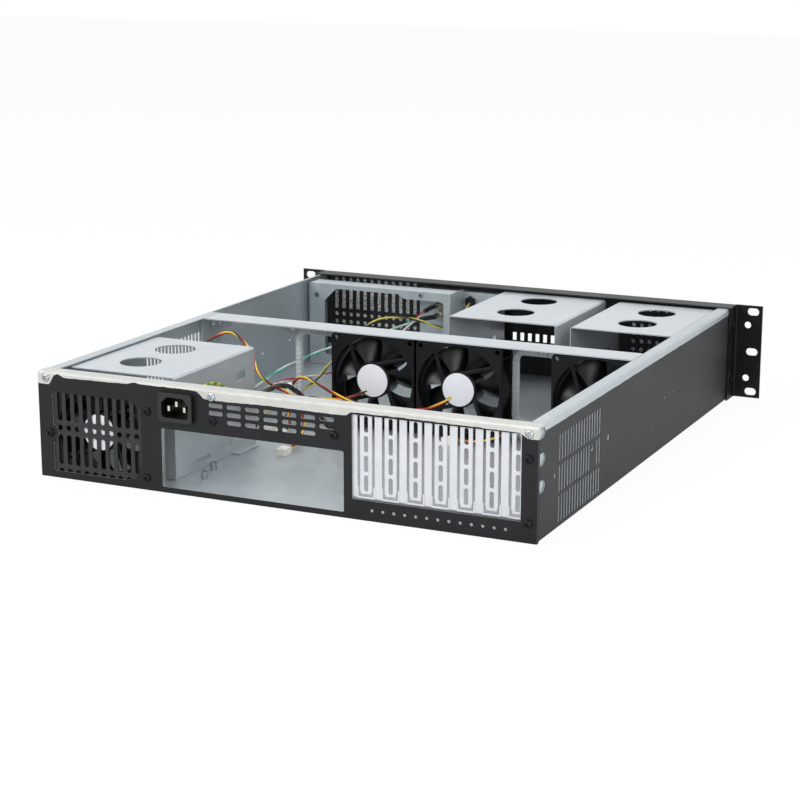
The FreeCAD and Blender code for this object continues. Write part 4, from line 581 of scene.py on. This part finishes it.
# ---- leads
# Each lead: diameter of the bundle in metres, its wires' colours, the far end, and its route in mm.
LEADS = {
    "lead_rear_fan": (0.003, ("yellow", "red", "wire_black"), "connector", (
        (189, 227.5, 12), (190, 209.5, 12.5), (200, 176.5, 20), (206.5, 134.5, 29), (206.5, 92.5, 38),
        (203, 54.5, 53), (193, 26.5, 70), (175, 12.5, 79), (154, 25.5, 71.5), (134, 45.5, 67),
        (124, 59.5, 54), (105, 63.5, 44.5), (85, 62.5, 39), (73, 67.5, 24), (67, 79.5, 9), (66, 95.5, 4),
        (66, 110.5, 4),
    )),
    "lead_fan_1": (0.003, ("yellow", "red", "wire_black"), "connector", (
        (40, 10.3, 36), (56, 16.5, 28), (75, 22.5, 27), (89, 27.5, 29), (102, 23.5, 24), (111, 21.5, 12),
        (114, 34.5, 4), (114, 47.5, 4),
    )),
    "lead_fan_2": (0.003, ("yellow", "wire_black", "red"), "connector", (
        (-42, 10.3, 39), (-28, 15.5, 28.5), (-9, 20.5, 25), (11, 27.5, 25.5), (30, 34.5, 29),
        (49, 39.5, 34), (70, 39.5, 43), (89, 36.5, 50), (102, 33.5, 43), (104, 32.5, 27), (104, 37.5, 13),
        (96, 49.5, 4), (96, 62.5, 4),
    )),
    "lead_fan_3": (0.003, ("yellow", "wire_black", "red"), "connector", (
        (-166, 10.3, 36), (-151, 16.5, 27), (-132, 18.5, 24), (-113, 15.5, 23), (-96, 15.5, 16),
        (-81, 20.5, 7), (-66, 25.5, 4), (-52, 25.5, 4),
    )),
    "lead_mains": (0.005, ("wire_black", "wire_black", "brown"), "connector", (
        (85.2, 225.5, 71.5), (85.5, 203.5, 69), (86.5, 172.5, 56), (84, 138.5, 51), (77, 104.5, 59),
        (73, 78.5, 48), (65, 59.5, 24), (58, 49.5, 10), (55, 38.5, 5.6), (55, 27.5, 5.6),
    )),
    "lead_reset": (0.003, ("white", "teal"), "connector", (
        (82, -229.5, 54.7), (94, -218.5, 54), (108, -204.5, 48), (114, -172.5, 46), (105, -133.5, 55),
        (102, -89.5, 58), (108, -55.5, 56), (123, -33.5, 50), (137, -13.5, 42), (153, 2.5, 30),
        (162, 19.5, 15), (164, 35.5, 4), (164, 49.5, 4),
    )),
    "lead_power": (0.003, ("crimson", "white"), "connector", (
        (82, -229.5, 66.4), (89, -217.5, 63), (97, -203.5, 51), (105, -180.5, 38), (106, -142.5, 32),
        (102, -99.5, 31), (110, -61.5, 30), (125, -40.5, 29), (138, -17.5, 30), (149, 4.5, 24),
        (150, 22.5, 10), (149, 36.5, 4), (149, 49.5, 4),
    )),
    "lead_lamp": (0.003, ("lime", "wire_black"), "connector", (
        (48, -235, 71.6), (47, -220.5, 66), (49, -211.5, 54), (60, -211.5, 47.5), (73, -211.5, 49),
        (85, -206.5, 54), (99, -198.5, 58.5), (114, -186.5, 60), (125, -172.5, 56), (133, -152.5, 47),
        (129, -119.5, 41), (117, -85.5, 44), (112, -57.5, 40), (117, -36.5, 24), (128, -15.5, 18),
        (135, 3.5, 17), (135, 18.5, 8), (135, 32.5, 4), (135, 45.5, 4),
    )),
    "lead_inlet_earth": (0.0024, ("earth",), "object", (
        (91.5, 225.5, 66), (94, 208.5, 70), (99.5, 188.5, 73), (102, 166.5, 70.5), (102, 148.5, 62),
        (106.8, 136.5, 54),
    )),
}


def route_line(name, route):
    """The points of a lead's NURBS line, as the curve itself gives them."""
    shape = bpy.data.curves.new(name, "CURVE")
    shape.dimensions = "3D"
    shape.resolution_u = 8
    spline = shape.splines.new("NURBS")
    spline.points.add(len(route) - 1)
    for point, place in zip(spline.points, route):
        point.co = (*place, 1.0)
    spline.order_u = 3
    spline.use_endpoint_u = True
    mesh = curve_mesh(name, shape)
    line = [vertex.co.copy() for vertex in mesh.vertices]
    bpy.data.meshes.remove(mesh)
    return line


def ring_at(point, across, other, radius, sides):
    """Points round a line's point, in the plane of two directions."""
    turns = [math.tau * k / sides for k in range(sides)]
    return [point + (across * math.cos(turn) + other * math.sin(turn)) * radius for turn in turns]


def wires_mesh(name, line, bundle, wire, count, seed):
    """Insulated wires that wander and turn round each other along a line, once in 35 to 50 mm."""
    rng = random.Random(seed)
    lay = rng.uniform(0.035, 0.05)
    phase = rng.uniform(0, math.tau)
    sway = [rng.uniform(0, math.tau) for _ in range(count)]
    work = bmesh.new()
    rings = [[] for _ in range(count)]
    across, walked, room = None, 0.0, (bundle - wire) / 2
    for k, point in enumerate(line):
        ahead = (line[min(k + 1, len(line) - 1)] - line[max(k - 1, 0)]).normalized()
        if across is None:
            across = ahead.orthogonal().normalized()
        across = (across - ahead * across.dot(ahead)).normalized()
        other = ahead.cross(across)
        if k:
            walked += (point - line[k - 1]).length
        for n in range(count):
            angle = phase + math.tau * (n / count + walked / lay)
            reach = room * (0.9 + 0.1 * math.sin(sway[n] + walked / 0.012)) if count > 1 else 0.0
            middle = point + (across * math.cos(angle) + other * math.sin(angle)) * reach
            rings[n].append([work.verts.new(spot) for spot in ring_at(middle, across, other, wire / 2, 8)])
    for n, strand in enumerate(rings):
        faces = bridge(work, strand)
        faces.append(work.faces.new(strand[0][::-1]))
        faces.append(work.faces.new(strand[-1]))
        for face in faces:
            face.material_index = n
            face.smooth = len(face.verts) == 4
    bmesh.ops.recalc_face_normals(work, faces=work.faces)
    return written(name, work)


# Radius in millimetres of a sleeve, and how much of it is drawn in at the far end.
SLEEVE_RADIUS, SLEEVE_DRAW = 2.35, 0.4
# Length in millimetres of the shrunk sleeve where a lead leaves its switch.
SLEEVES = {"lead_reset": 17.0, "lead_power": 17.0}
# The node that holds each lead's plug. The inlet's earth lead has none.
PLUGS = {
    "lead_rear_fan": "connector_fan_leads", "lead_fan_1": "connector_fan_leads",
    "lead_fan_2": "connector_fan_leads", "lead_fan_3": "connector_fan_leads",
    "lead_mains": "connector_mains", "lead_reset": "connector_panel_leads",
    "lead_power": "connector_panel_leads", "lead_lamp": "connector_panel_leads",
}
# A lead thicker than this carries mains current, in metres; its wires are thicker too.
THICK_LEAD, THICK_WIRE = 0.004, 1.5


def sleeve_mesh(name, line, length):
    """A heat-shrink sleeve over the start of a lead, drawn in where the wires leave it."""
    work = bmesh.new()
    walked, rings = 0.0, []
    for k, point in enumerate(line):
        if k:
            walked += (point - line[k - 1]).length
        if walked > length:
            break
        ahead = (line[k + 1] - line[max(k - 1, 0)]).normalized()
        across = ahead.orthogonal().normalized()
        radius = (SLEEVE_RADIUS - SLEEVE_DRAW * (walked / length) ** 3) * MM
        rings.append(ring_at(point, across, ahead.cross(across), radius, 16))
    strip(work, rings)
    return meshed(name, work, 50)


class CASE_OT_leads(bpy.types.Operator):
    """Draw the loose leads wire by wire, in place of their plain tubes"""

    bl_idname = "case.leads"
    bl_label = "Leads"

    def execute(self, context):
        for seed, (name, (bundle, colours, far_end, route)) in enumerate(LEADS.items(), start=3):
            route = [tuple(c * MM for c in point) for point in route]
            line = route_line(name, route)
            count, thick = len(colours), bundle > THICK_LEAD
            wire = bundle if count == 1 else settings().wire_diameter * (THICK_WIRE if thick else 1.0)
            mesh = wires_mesh(name + "_wires", line, bundle, wire, count, seed)
            for colour in colours:
                mesh.materials.append(MATERIALS[colour])
            piece = show(name + "_wires", mesh)
            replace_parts(piece, name)
            extra = [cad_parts[PLUGS[name]]] if name in PLUGS else []
            if name in SLEEVES:
                sleeve = sleeve_mesh(name + "_sleeve", line, SLEEVES[name] * MM)
                sleeve.materials.append(MATERIALS["shrink"])
                extra.append(show(name + "_sleeve", sleeve))
        return {"FINISHED"}


# ---- finishes of the fixed parts
# The nodes that take each finish, apart from fans and slot covers.
FINISHES = {
    "rear": "rear_panel",
    "black": "fan_grille_plate front_panel",
    "tray": "base_tray",
    "ear": "ear_left ear_right",
    "cover": "slot_frame",
    "zinc_cage_and_foot_shade": "psu_cage drive_cage_centre drive_cage_right fan_wall",
    "zinc": "front_bracket switch_bracket rear_corner_bracket_left rear_corner_bracket_right",
    "bright": "board_standoffs top_edge_screws",
    "dark_screw": "rear_screws ear_screws",
    "inlet": "power_inlet_housing filter_frame_left filter_frame_right",
    "pin": "power_inlet_pins power_switch_body reset_switch_body",
    "trim": "edge_trim_left edge_trim_right",
    "fibre": "filter_pad_left filter_pad_right",
    "button": "power_button reset_button indicator_lamp",
    "nylon": "connector_fan_leads connector_fan_2_pair",
    "nylon_black": "connector_panel_leads connector_mains",
}


class CASE_OT_finishes(bpy.types.Operator):
    """Give every fixed part its finish"""

    bl_idname = "case.finishes"
    bl_label = "Finishes"

    def execute(self, context):
        listed = {node: finish for finish, nodes in FINISHES.items() for node in nodes.split()}
        for name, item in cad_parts.items():
            if name.startswith("lead_"):
                continue
            if name.startswith("slot_cover"):
                finish = "cover"
            elif name.endswith("_rotor"):
                finish = "blade"
            elif name.endswith("_frame") and "fan_" in name:
                finish = "fan"
            else:
                finish = listed[name]
            item.data.materials.clear()
            item.data.materials.append(MATERIALS[finish])
        return {"FINISHED"}


# ---- fans
FANS = {
    # name: u, z and v of the rear face of its frame, in millimetres
    "rear_fan": (55.0, 41.3, 2.8),
    "fan_1": (180.5, 45.7, 241.2),
    "fan_2": (262.5, 45.7, 241.2),
    "fan_3": (387.5, 45.7, 241.2),
}
# All in millimetres: half a frame's width, its bore, depth, hole spacing and flange.
FAN_HALF, FAN_BORE, FAN_THICK, FAN_HOLES, FLANGE = 40.0, 76.0, 25.0, 35.75, 3.6
# Outer radius of the duct, how far a strut passes beside the shaft, and its turn in degrees.
DUCT_RADIUS, STRUT_ASIDE, STRUT_TURN = 39.6, 12.6, 16.0
# A corner web's distance from its hole, its reach, and its inset from the frame's faces.
WEB_FROM, WEB_REACH, WEB_INSET = 6.5, 4.0, 3.0
HUB_RADIUS, HUB_START, HUB_END, BLADE_COUNT, BLADE_TIP, BLADE_ROOT = 16.2, 3.7, 23.5, 7, 37.0, 0.8
# Half a blade's chord round the axis and along it, at the hub, and what each gains by the tip.
HALF_TURN, HALF_DEEP = (6.0, 7.6), (8.2, -1.9)
# Middle of a blade along the axis, its camber and half its thickness; its sweep in radians.
BLADE_MIDDLE, CAMBER, BLADE_THICK, SWEEP = 13.4, 1.7, 0.62, 0.16


def fan_frame_meshes(u, z, start):
    """Two flanges, a duct, corner webs, four leaning struts and the stator's base, in millimetres."""
    square = rounded(u - FAN_HALF, z - FAN_HALF, u + FAN_HALF, z + FAN_HALF, 4.0)
    corners = [(a, b) for a in (-1, 1) for b in (-1, 1)]
    holes = [circle(u + a * FAN_HOLES, z + b * FAN_HOLES, 4.3 / 2, 20) for a, b in corners]
    mouth = circle(u, z, FAN_BORE / 2, 72)
    parts = [plate_mesh("flange", [square, mouth] + holes, start + shift, FLANGE, 0.3)
             for shift in (0.0, FAN_THICK - FLANGE)]
    low_v, high_v = start + 1.0, start + FAN_THICK - 1.0
    parts.append(lathe([(FAN_BORE / 2, low_v), (FAN_BORE / 2, high_v), (DUCT_RADIUS, high_v),
                        (DUCT_RADIUS, low_v), (FAN_BORE / 2, low_v)], (u, z), 72))
    work = bmesh.new()
    for a, b in corners:
        for along, across in ((1.0, 0.0), (0.0, 1.0)):
            low = (u + a * (FAN_HOLES - WEB_FROM * along), z + b * (FAN_HOLES - WEB_FROM * across))
            high = (low[0] + a * WEB_REACH * across, low[1] + b * WEB_REACH * along)
            half_u, half_z = 0.5 * along, 0.5 * across
            ring = [(low[0] - half_u, low[1] - half_z), (low[0] + half_u, low[1] + half_z),
                    (high[0] + half_u, high[1] + half_z), (high[0] - half_u, high[1] - half_z)]
            strip(work, [[at(p, v, q) for p, q in ring]
                         for v in (start + WEB_INSET, start + FAN_THICK - WEB_INSET)])
    reach = math.sqrt((FAN_BORE / 2 + 0.8) ** 2 - STRUT_ASIDE ** 2)
    for k in range(4):
        turn = math.radians(STRUT_TURN + 90.0 * k)
        sections = []
        for along, wide, deep in ((4.0, 2.0, 2.7), (reach * 0.5, 1.7, 2.3), (reach - 0.6, 1.4, 2.1)):
            ring = []
            for across, v in ((-wide, 0.5), (-wide * 0.8, 0.35), (wide * 0.8, 0.35), (wide, 0.5),
                              (wide * 0.7, deep), (-wide * 0.7, deep)):
                aside = STRUT_ASIDE + across
                ring.append(at(u + along * math.cos(turn) - aside * math.sin(turn), start + v,
                               z + along * math.sin(turn) + aside * math.cos(turn)))
            sections.append(ring)
        strip(work, sections)
    parts.append(meshed("webs", work))
    parts.append(lathe([(0, start), (15.6, start), (16.3, start + 0.7), (16.3, start + 3.1),
                        (0, start + 3.1)], (u, z), 64))
    return parts


def rotor_mesh(name, u, z, start):
    """A domed hub and seven swept, twisted and cambered blades."""
    work = bmesh.new()
    for k in range(BLADE_COUNT):
        sections = []
        for step in range(9):
            share = step / 8
            radius = HUB_RADIUS - BLADE_ROOT + share * (BLADE_TIP - HUB_RADIUS + BLADE_ROOT)
            half_turn = HALF_TURN[0] + HALF_TURN[1] * share
            half_deep = HALF_DEEP[0] + HALF_DEEP[1] * share
            ring = []
            for side in (1, -1):
                for chord in range(9):
                    c = (chord / 4 - 1) * side
                    thick = BLADE_THICK * math.sqrt(max(0.0, 1 - c * c)) + 0.06
                    angle = (math.tau * k / BLADE_COUNT + SWEEP * share * share
                             + (c * half_turn + side * thick * 0.7) / radius)
                    depth = BLADE_MIDDLE - c * half_deep - CAMBER * (1 - c * c) + side * thick * 0.7
                    ring.append(at(u + radius * math.cos(angle), start + depth, z + radius * math.sin(angle)))
            sections.append(ring)
        strip(work, sections)
    blades = meshed("blades", work, 40)
    hub = lathe([(0, start + HUB_START), (HUB_RADIUS, start + HUB_START), (HUB_RADIUS, start + HUB_END - 1.5),
                 (HUB_RADIUS - 1.5, start + HUB_END), (0, start + HUB_END)], (u, z), 64)
    return merged(name, [blades, hub], ["blade", "blade"])


class CASE_OT_fans(bpy.types.Operator):
    """Moulded fan frames, swept rotors and the bare round labels on their hubs"""

    bl_idname = "case.fans"
    bl_label = "Fans"

    def execute(self, context):
        radius = settings().label_diameter / 2 / MM
        for name, (u, z, start) in FANS.items():
            parts = fan_frame_meshes(u, z, start)
            body = smooth(merged(name + "_housing", parts, ["fan"] * len(parts)))
            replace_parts(show(name + "_housing", body), name + "_frame")
            rotor = rotor_mesh(name + "_impeller", u, z, start)
            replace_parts(show(name + "_impeller", rotor, name + "_rotor"), name + "_rotor")
            profile = [(0, start - 0.16), (radius - 0.15, start - 0.16), (radius, start - 0.1),
                       (radius, start - 0.01)]
            mesh = lathe(profile, (u, z), 64)
            mesh.materials.append(MATERIALS["label"])
            show(name + "_label", mesh)
        return {"FINISHED"}


# ---- edge trims
# Near and far edge of each window from the +X wall, and the trims' heights and places, in millimetres.
TRIMS = {"left": (95.0, 137.0), "right": (305.5, 344.0)}
TRIM_LOW, TRIM_HIGH, TRIM_FACE, TRIM_MIDDLE = 15.0, 78.5, 2.6, 267.0
# Radius of a window's corners, a cheek's thickness, and where each cheek begins from the middle.
TRIM_CORNER, CHEEK, CHEEK_STARTS = 8.0, 1.65, (-2.3, 0.65)
# Half the length and half the width of a tooth.
TOOTH_LONG, TOOTH_WIDE = 2.2, 0.65


class CASE_OT_trims(bpy.types.Operator):
    """Toothed edgings round the two cable windows of the fan wall"""

    bl_idname = "case.trims"
    bl_label = "Edge trims"

    def execute(self, context):
        pitch = settings().tooth_pitch / MM
        for name, (near, far) in TRIMS.items():
            parts = []
            outer = rounded(near - TRIM_FACE, TRIM_LOW - TRIM_FACE, far + TRIM_FACE, TRIM_HIGH + TRIM_FACE,
                            TRIM_CORNER + TRIM_FACE, 10)
            inner = rounded(near + TRIM_FACE, TRIM_LOW + TRIM_FACE, far - TRIM_FACE, TRIM_HIGH - TRIM_FACE,
                            TRIM_CORNER - TRIM_FACE, 10)
            for start in CHEEK_STARTS:
                parts.append(plate_mesh("cheek", [outer, inner], TRIM_MIDDLE + start, CHEEK, 0.5))
            upright = [(u, TRIM_LOW + TRIM_CORNER + k * pitch) for u in (near - 0.3, far + 0.3)
                       for k in range(int((TRIM_HIGH - TRIM_LOW - 2 * TRIM_CORNER) / pitch) + 1)]
            level = [(near + TRIM_CORNER + k * pitch, z) for z in (TRIM_LOW - 0.3, TRIM_HIGH + 0.3)
                     for k in range(int((far - near - 2 * TRIM_CORNER) / pitch) + 1)]
            for half_u, half_z, places in ((TOOTH_LONG, TOOTH_WIDE, upright), (TOOTH_WIDE, TOOTH_LONG, level)):
                unit = plate_mesh("tooth", [rounded(-half_u, -half_z, half_u, half_z, 0.4, 3)], 0.0, 1.3, 0.15)
                unit.transform(Matrix.Translation(-at(0.0, 0.0, 0.0)))
                row = repeated("teeth", unit, [at(u, TRIM_MIDDLE - 3.4, z) for u, z in places], "trim")
                row.materials.clear()
                parts.append(row)
            mesh = smooth(merged("edge_trim_teeth_" + name, parts, ["trim"] * len(parts)))
            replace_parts(show("edge_trim_teeth_" + name, mesh), "edge_trim_" + name)
        return {"FINISHED"}


# ---- slot covers
# Middle heights of the holes; then half the width of a cover, of its foot and of its opening.
COVER_HOLES = (28.5, 43.7, 58.9, 74.1)
COVER_HALF, COVER_FOOT_HALF, OPENING_HALF = 4.95, 4.3, 7.2
COVER_COUNT, FIRST_COVER, COVER_PITCH, COVER_TOP = 7, 292.3, 20.32, 82.6
# Heights where a cover begins, where its foot ends and where it has its full width.
COVER_LOW, FOOT_END, SHOULDER = 20.4, 22.0, 23.6
# The frame behind the covers: its back, edges and top, and the fold where its foot leans in.
FRAME_BACK, FRAME_NEAR, FRAME_FAR, FRAME_TOP = 1.5, 278.6, 427.0, 84.5
FOOT_TOP, FOOT_LEAN = 17.4, -32
FRAME_SCREWS = ((423.0, 62.9), (423.0, 14.7), (423.0, 81.4))


class CASE_OT_covers(bpy.types.Operator):
    """Slot covers with oval holes, the pressed rims round their feet, and the frame behind them"""

    bl_idname = "case.covers"
    bl_label = "Slot covers"

    def execute(self, context):
        rims, openings = [], []
        for k in range(COVER_COUNT):
            u = FIRST_COVER + COVER_PITCH * k
            right = [(COVER_FOOT_HALF, COVER_LOW), (COVER_FOOT_HALF, FOOT_END), (COVER_HALF, SHOULDER),
                     (COVER_HALF, COVER_TOP)]
            outline = ([(u - COVER_FOOT_HALF, COVER_LOW)] + [(u + a, z) for a, z in right]
                       + [(u - a, z) for a, z in right[:0:-1]])
            holes = [rounded(u - 1.75, z - 6.4, u + 1.75, z + 6.4, 1.74, 8) for z in COVER_HOLES]
            face = plate_mesh("cover", [outline] + holes, FRAME_BACK, 0.9, 0.12)
            tab = plate_mesh("tab", [rounded(u - COVER_HALF, FRAME_BACK + 0.2, u + COVER_HALF, 13.6, 1.0)],
                             COVER_TOP - 0.8, 0.9, 0.12, "level")
            name = "slot_cover_plate_%d" % (k + 1)
            mesh = smooth(merged(name, [face, tab], ["cover", "cover"]))
            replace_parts(show(name, mesh), "slot_cover_%d" % (k + 1))
            side = [(7.4, 26.0), (7.4, 17.6), (6.6, 16.8)]
            inside = [(6.2, 26.0), (6.2, 18.2)]
            rim = ([(u - a, z) for a, z in side] + [(u + a, z) for a, z in side[::-1]]
                   + [(u + a, z) for a, z in inside] + [(u - a, z) for a, z in inside[::-1]])
            rims.append(plate_mesh("rim", [rim], FRAME_BACK - 0.5, 0.8, 0.2))
            openings.append(rounded(u - OPENING_HALF, 18.0, u + OPENING_HALF, FRAME_TOP - 1.0, 1.2, 4))
        show("slot_rims", smooth(merged("slot_rims", rims, ["cover"] * len(rims))))
        screws = [rounded(u - 1.6, z - 1.6, u + 1.6, z + 1.6, 1.59, 5) for u, z in FRAME_SCREWS]
        outline = rounded(FRAME_NEAR, FOOT_TOP, FRAME_FAR, FRAME_TOP, 0.2)
        face = plate_mesh("face", [outline] + openings + screws, FRAME_BACK, 1.0, 0.1)
        foot = plate_mesh("foot", [rounded(FRAME_NEAR, 4.5, FRAME_FAR, FOOT_TOP, 0.2)], FRAME_BACK, 1.0, 0.1)
        crease = at(0.0, FRAME_BACK, FOOT_TOP)
        foot.transform(Matrix.Translation(crease) @ Matrix.Rotation(math.radians(FOOT_LEAN), 4, "X")
                       @ Matrix.Translation(-crease))
        ledge = plate_mesh("ledge", [rounded(FRAME_NEAR, FRAME_BACK, FRAME_FAR, 14.0, 0.2)],
                           FRAME_TOP - 0.5, 1.0, 0.1, "level")
        # The foot takes the darker cage zinc: painted shade where the frame's bright zinc folds in.
        whole = smooth(merged("slot_frame_plate", [face, foot, ledge], ["cover", "zinc_cage_and_foot_shade", "cover"]))
        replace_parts(show("slot_frame_plate", whole), "slot_frame")
        return {"FINISHED"}


# ---- fasteners
REAR_SCREWS = ((10.1, 36.9), (101.9, 64.1), (100.3, 9.8), (161.5, 62.5), (266.2, 63.2), (423.0, 62.9),
               (423.0, 14.7))
TOP_SCREWS = ((7.6, 82.0), (160.7, 81.6), (423.0, 81.4))
# Where the inner fans' screws sit along the case, and the most a head is turned, in radians.
FAN_SCREW_FACE, SCREW_TURN = 267.5, 1.2


class CASE_OT_fasteners(bpy.types.Operator):
    """Pan heads with crossed drives on the rear panel, and the screws of the three inner fans"""

    bl_idname = "case.fasteners"
    bl_label = "Fasteners"

    def execute(self, context):
        fan_places = [(u + a * FAN_HOLES, z + b * FAN_HOLES) for u, z, _ in list(FANS.values())[1:]
                      for a in (-1, 1) for b in (-1, 1)]
        for name, spots, face, height, facing, finish, slot, node in (
            ("rear_screw_heads", REAR_SCREWS, 0.0, 2.0, 1, "dark_screw", "black_zinc", "rear_screws"),
            ("top_screw_heads", TOP_SCREWS, 0.0, 1.6, 1, "bright", "bright_steel", "top_edge_screws"),
            ("fan_screw_heads", fan_places, FAN_SCREW_FACE, 1.8, -1, "bright", "bright_steel", None),
        ):
            head = drive_head(settings().screw_head / MM, height, facing)
            row = repeated(name, head, [at(u, face, z) for u, z in spots], finish, SCREW_TURN)
            piece = show(name, row)
            if node:
                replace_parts(piece, node)
        return {"FINISHED"}


# ---- stage
# Half the floor's width and how far it lies below the feet, in metres; its grey in diffuse light.
FLOOR_HALF, FLOOR_DROP, FLOOR_GREY = 6.0, 0.0002, 0.86
# How much of the floor glows for the camera, and, as painted light and shade seen in reflections, for mirror
# rays between two distances from a place.
FLOOR_SEEN, PAINTED_POOL_PLACE, PAINTED_POOL_NEAR, PAINTED_POOL_FAR = 0.93, (-0.35, 0.55, 0.0), (0.15, 0.05), (0.75, 0.6)
# Light of the surround on matt surfaces, where mirror and camera rays see 1.
SURROUND = 0.62
# Each lamp: its place, the place it faces, its width in metres, and its power in watts.
LAMPS = (
    ("key_lamp", (1.25, 1.7, 1.3), (0.1, 0.1, 0.05), 1.0, 26.0),
    ("top_lamp", (0.2, -0.2, 2.2), (0.0, 0.0, 0.0), 1.6, 22.0),
    ("side_lamp", (-0.95, 0.75, 0.5), (-0.2, 0.15, 0.04), 0.6, 5.0),
)


class CASE_OT_stage(bpy.types.Operator):
    """A pale floor, a white surround and soft studio lamps"""

    bl_idname = "case.stage"
    bl_label = "Stage"

    def execute(self, context):
        floor_mesh = bpy.data.meshes.new("floor")
        corners = [(a * FLOOR_HALF, b * FLOOR_HALF, -FLOOR_DROP)
                   for a, b in ((-1, -1), (1, -1), (1, 1), (-1, 1))]
        floor_mesh.from_pydata(corners, [], [(0, 1, 2, 3)])
        floor = placed("floor", floor_mesh)
        paper = bpy.data.materials.new("studio_paper")
        paper.use_nodes = True
        tree = paper.node_tree
        tree.nodes.clear()
        diffuse = add(tree, "ShaderNodeBsdfDiffuse", {"Color": (FLOOR_GREY,) * 3 + (1.0,)})
        glow = add(tree, "ShaderNodeEmission", {"Color": (1.0, 1.0, 1.0, 1.0), "Strength": 1.0})
        ray = add(tree, "ShaderNodeLightPath")
        seen = add(tree, "ShaderNodeMath", {0: ray.outputs["Is Camera Ray"], 1: FLOOR_SEEN},
                   operation="MULTIPLY")
        place = add(tree, "ShaderNodeTexCoord").outputs["Object"]
        # Painted light: what mirror rays see of the floor glows more the further it lies from a place.
        away = add(tree, "ShaderNodeVectorMath", {0: place, 1: PAINTED_POOL_PLACE}, operation="DISTANCE")
        painted_light_pool = add(tree, "ShaderNodeMapRange", {"Value": away.outputs["Value"], "From Min": PAINTED_POOL_NEAR[0],
                                                "From Max": PAINTED_POOL_FAR[0], "To Min": PAINTED_POOL_NEAR[1],
                                                "To Max": PAINTED_POOL_FAR[1]})
        painted_reflection = add(tree, "ShaderNodeMath", {0: ray.outputs["Is Glossy Ray"], 1: painted_light_pool},
                       operation="MULTIPLY")
        most = add(tree, "ShaderNodeMath", {0: seen, 1: painted_reflection}, operation="MAXIMUM")
        mix = add(tree, "ShaderNodeMixShader", {0: most, 1: diffuse, 2: glow})
        out = add(tree, "ShaderNodeOutputMaterial")
        tree.links.new(mix.outputs[0], out.inputs[0])
        floor_mesh.materials.append(paper)

        world = bpy.data.worlds.new("studio")
        context.scene.world = world
        world.use_nodes = True
        tree = world.node_tree
        tree.nodes.clear()
        ray = add(tree, "ShaderNodeLightPath")
        seen = add(tree, "ShaderNodeMath", {0: ray.outputs["Is Camera Ray"], 1: ray.outputs["Is Glossy Ray"]},
                   operation="MAXIMUM")
        clear = add(tree, "ShaderNodeMath", {0: seen, 1: ray.outputs["Is Transmission Ray"]},
                    operation="MAXIMUM")
        level = add(tree, "ShaderNodeMapRange", {"Value": clear, "To Min": SURROUND, "To Max": 1.0})
        back = add(tree, "ShaderNodeBackground", {"Color": (1.0, 1.0, 1.0, 1.0), "Strength": level})
        out = add(tree, "ShaderNodeOutputWorld")
        tree.links.new(back.outputs[0], out.inputs[0])

        for name, place, target, size, power in LAMPS:
            lamp = bpy.data.lights.new(name, "AREA")
            lamp.shape = "SQUARE"
            lamp.size = size
            lamp.energy = power
            holder = placed(name, lamp)
            holder.location = place
            holder.visible_camera = False
            holder.rotation_euler = (Vector(target) - Vector(place)).to_track_quat("-Z", "Y").to_euler()
        return {"FINISHED"}


class CASE_PT_panel(bpy.types.Panel):
    """Lists the case's pieces and settings"""

    bl_label = "Server Case"
    bl_idname = "CASE_PT_panel"
    bl_space_type = "VIEW_3D"
    bl_region_type = "UI"
    bl_category = "Case"

    def draw(self, context):
        for name in CaseSettings.__annotations__:
            self.layout.prop(context.scene.case_settings, name)
        for item in OPERATORS:
            self.layout.operator(item.bl_idname)


OPERATORS = (CASE_OT_camera, CASE_OT_leads, CASE_OT_finishes, CASE_OT_fans, CASE_OT_trims, CASE_OT_covers,
             CASE_OT_fasteners, CASE_OT_stage)
CLASSES = (CaseSettings, *OPERATORS, CASE_PT_panel)


def register():
    """Add the classes and the settings."""
    for item in CLASSES:
        bpy.utils.register_class(item)
    bpy.types.Scene.case_settings = bpy.props.PointerProperty(type=CaseSettings)


def unregister():
    """Take them out again."""
    del bpy.types.Scene.case_settings
    for item in reversed(CLASSES):
        bpy.utils.unregister_class(item)


def main():
    """Build the scene."""
    register()
    bpy.context.scene.view_settings.view_transform = "Standard"
    make_materials()
    bpy.ops.case.camera()
    bpy.ops.case.leads()
    bpy.ops.case.finishes()
    bpy.ops.case.fans()
    bpy.ops.case.trims()
    bpy.ops.case.covers()
    bpy.ops.case.fasteners()
    bpy.ops.case.stage()
    bpy.context.view_layer.update()


if __name__ == "__main__":
    main()
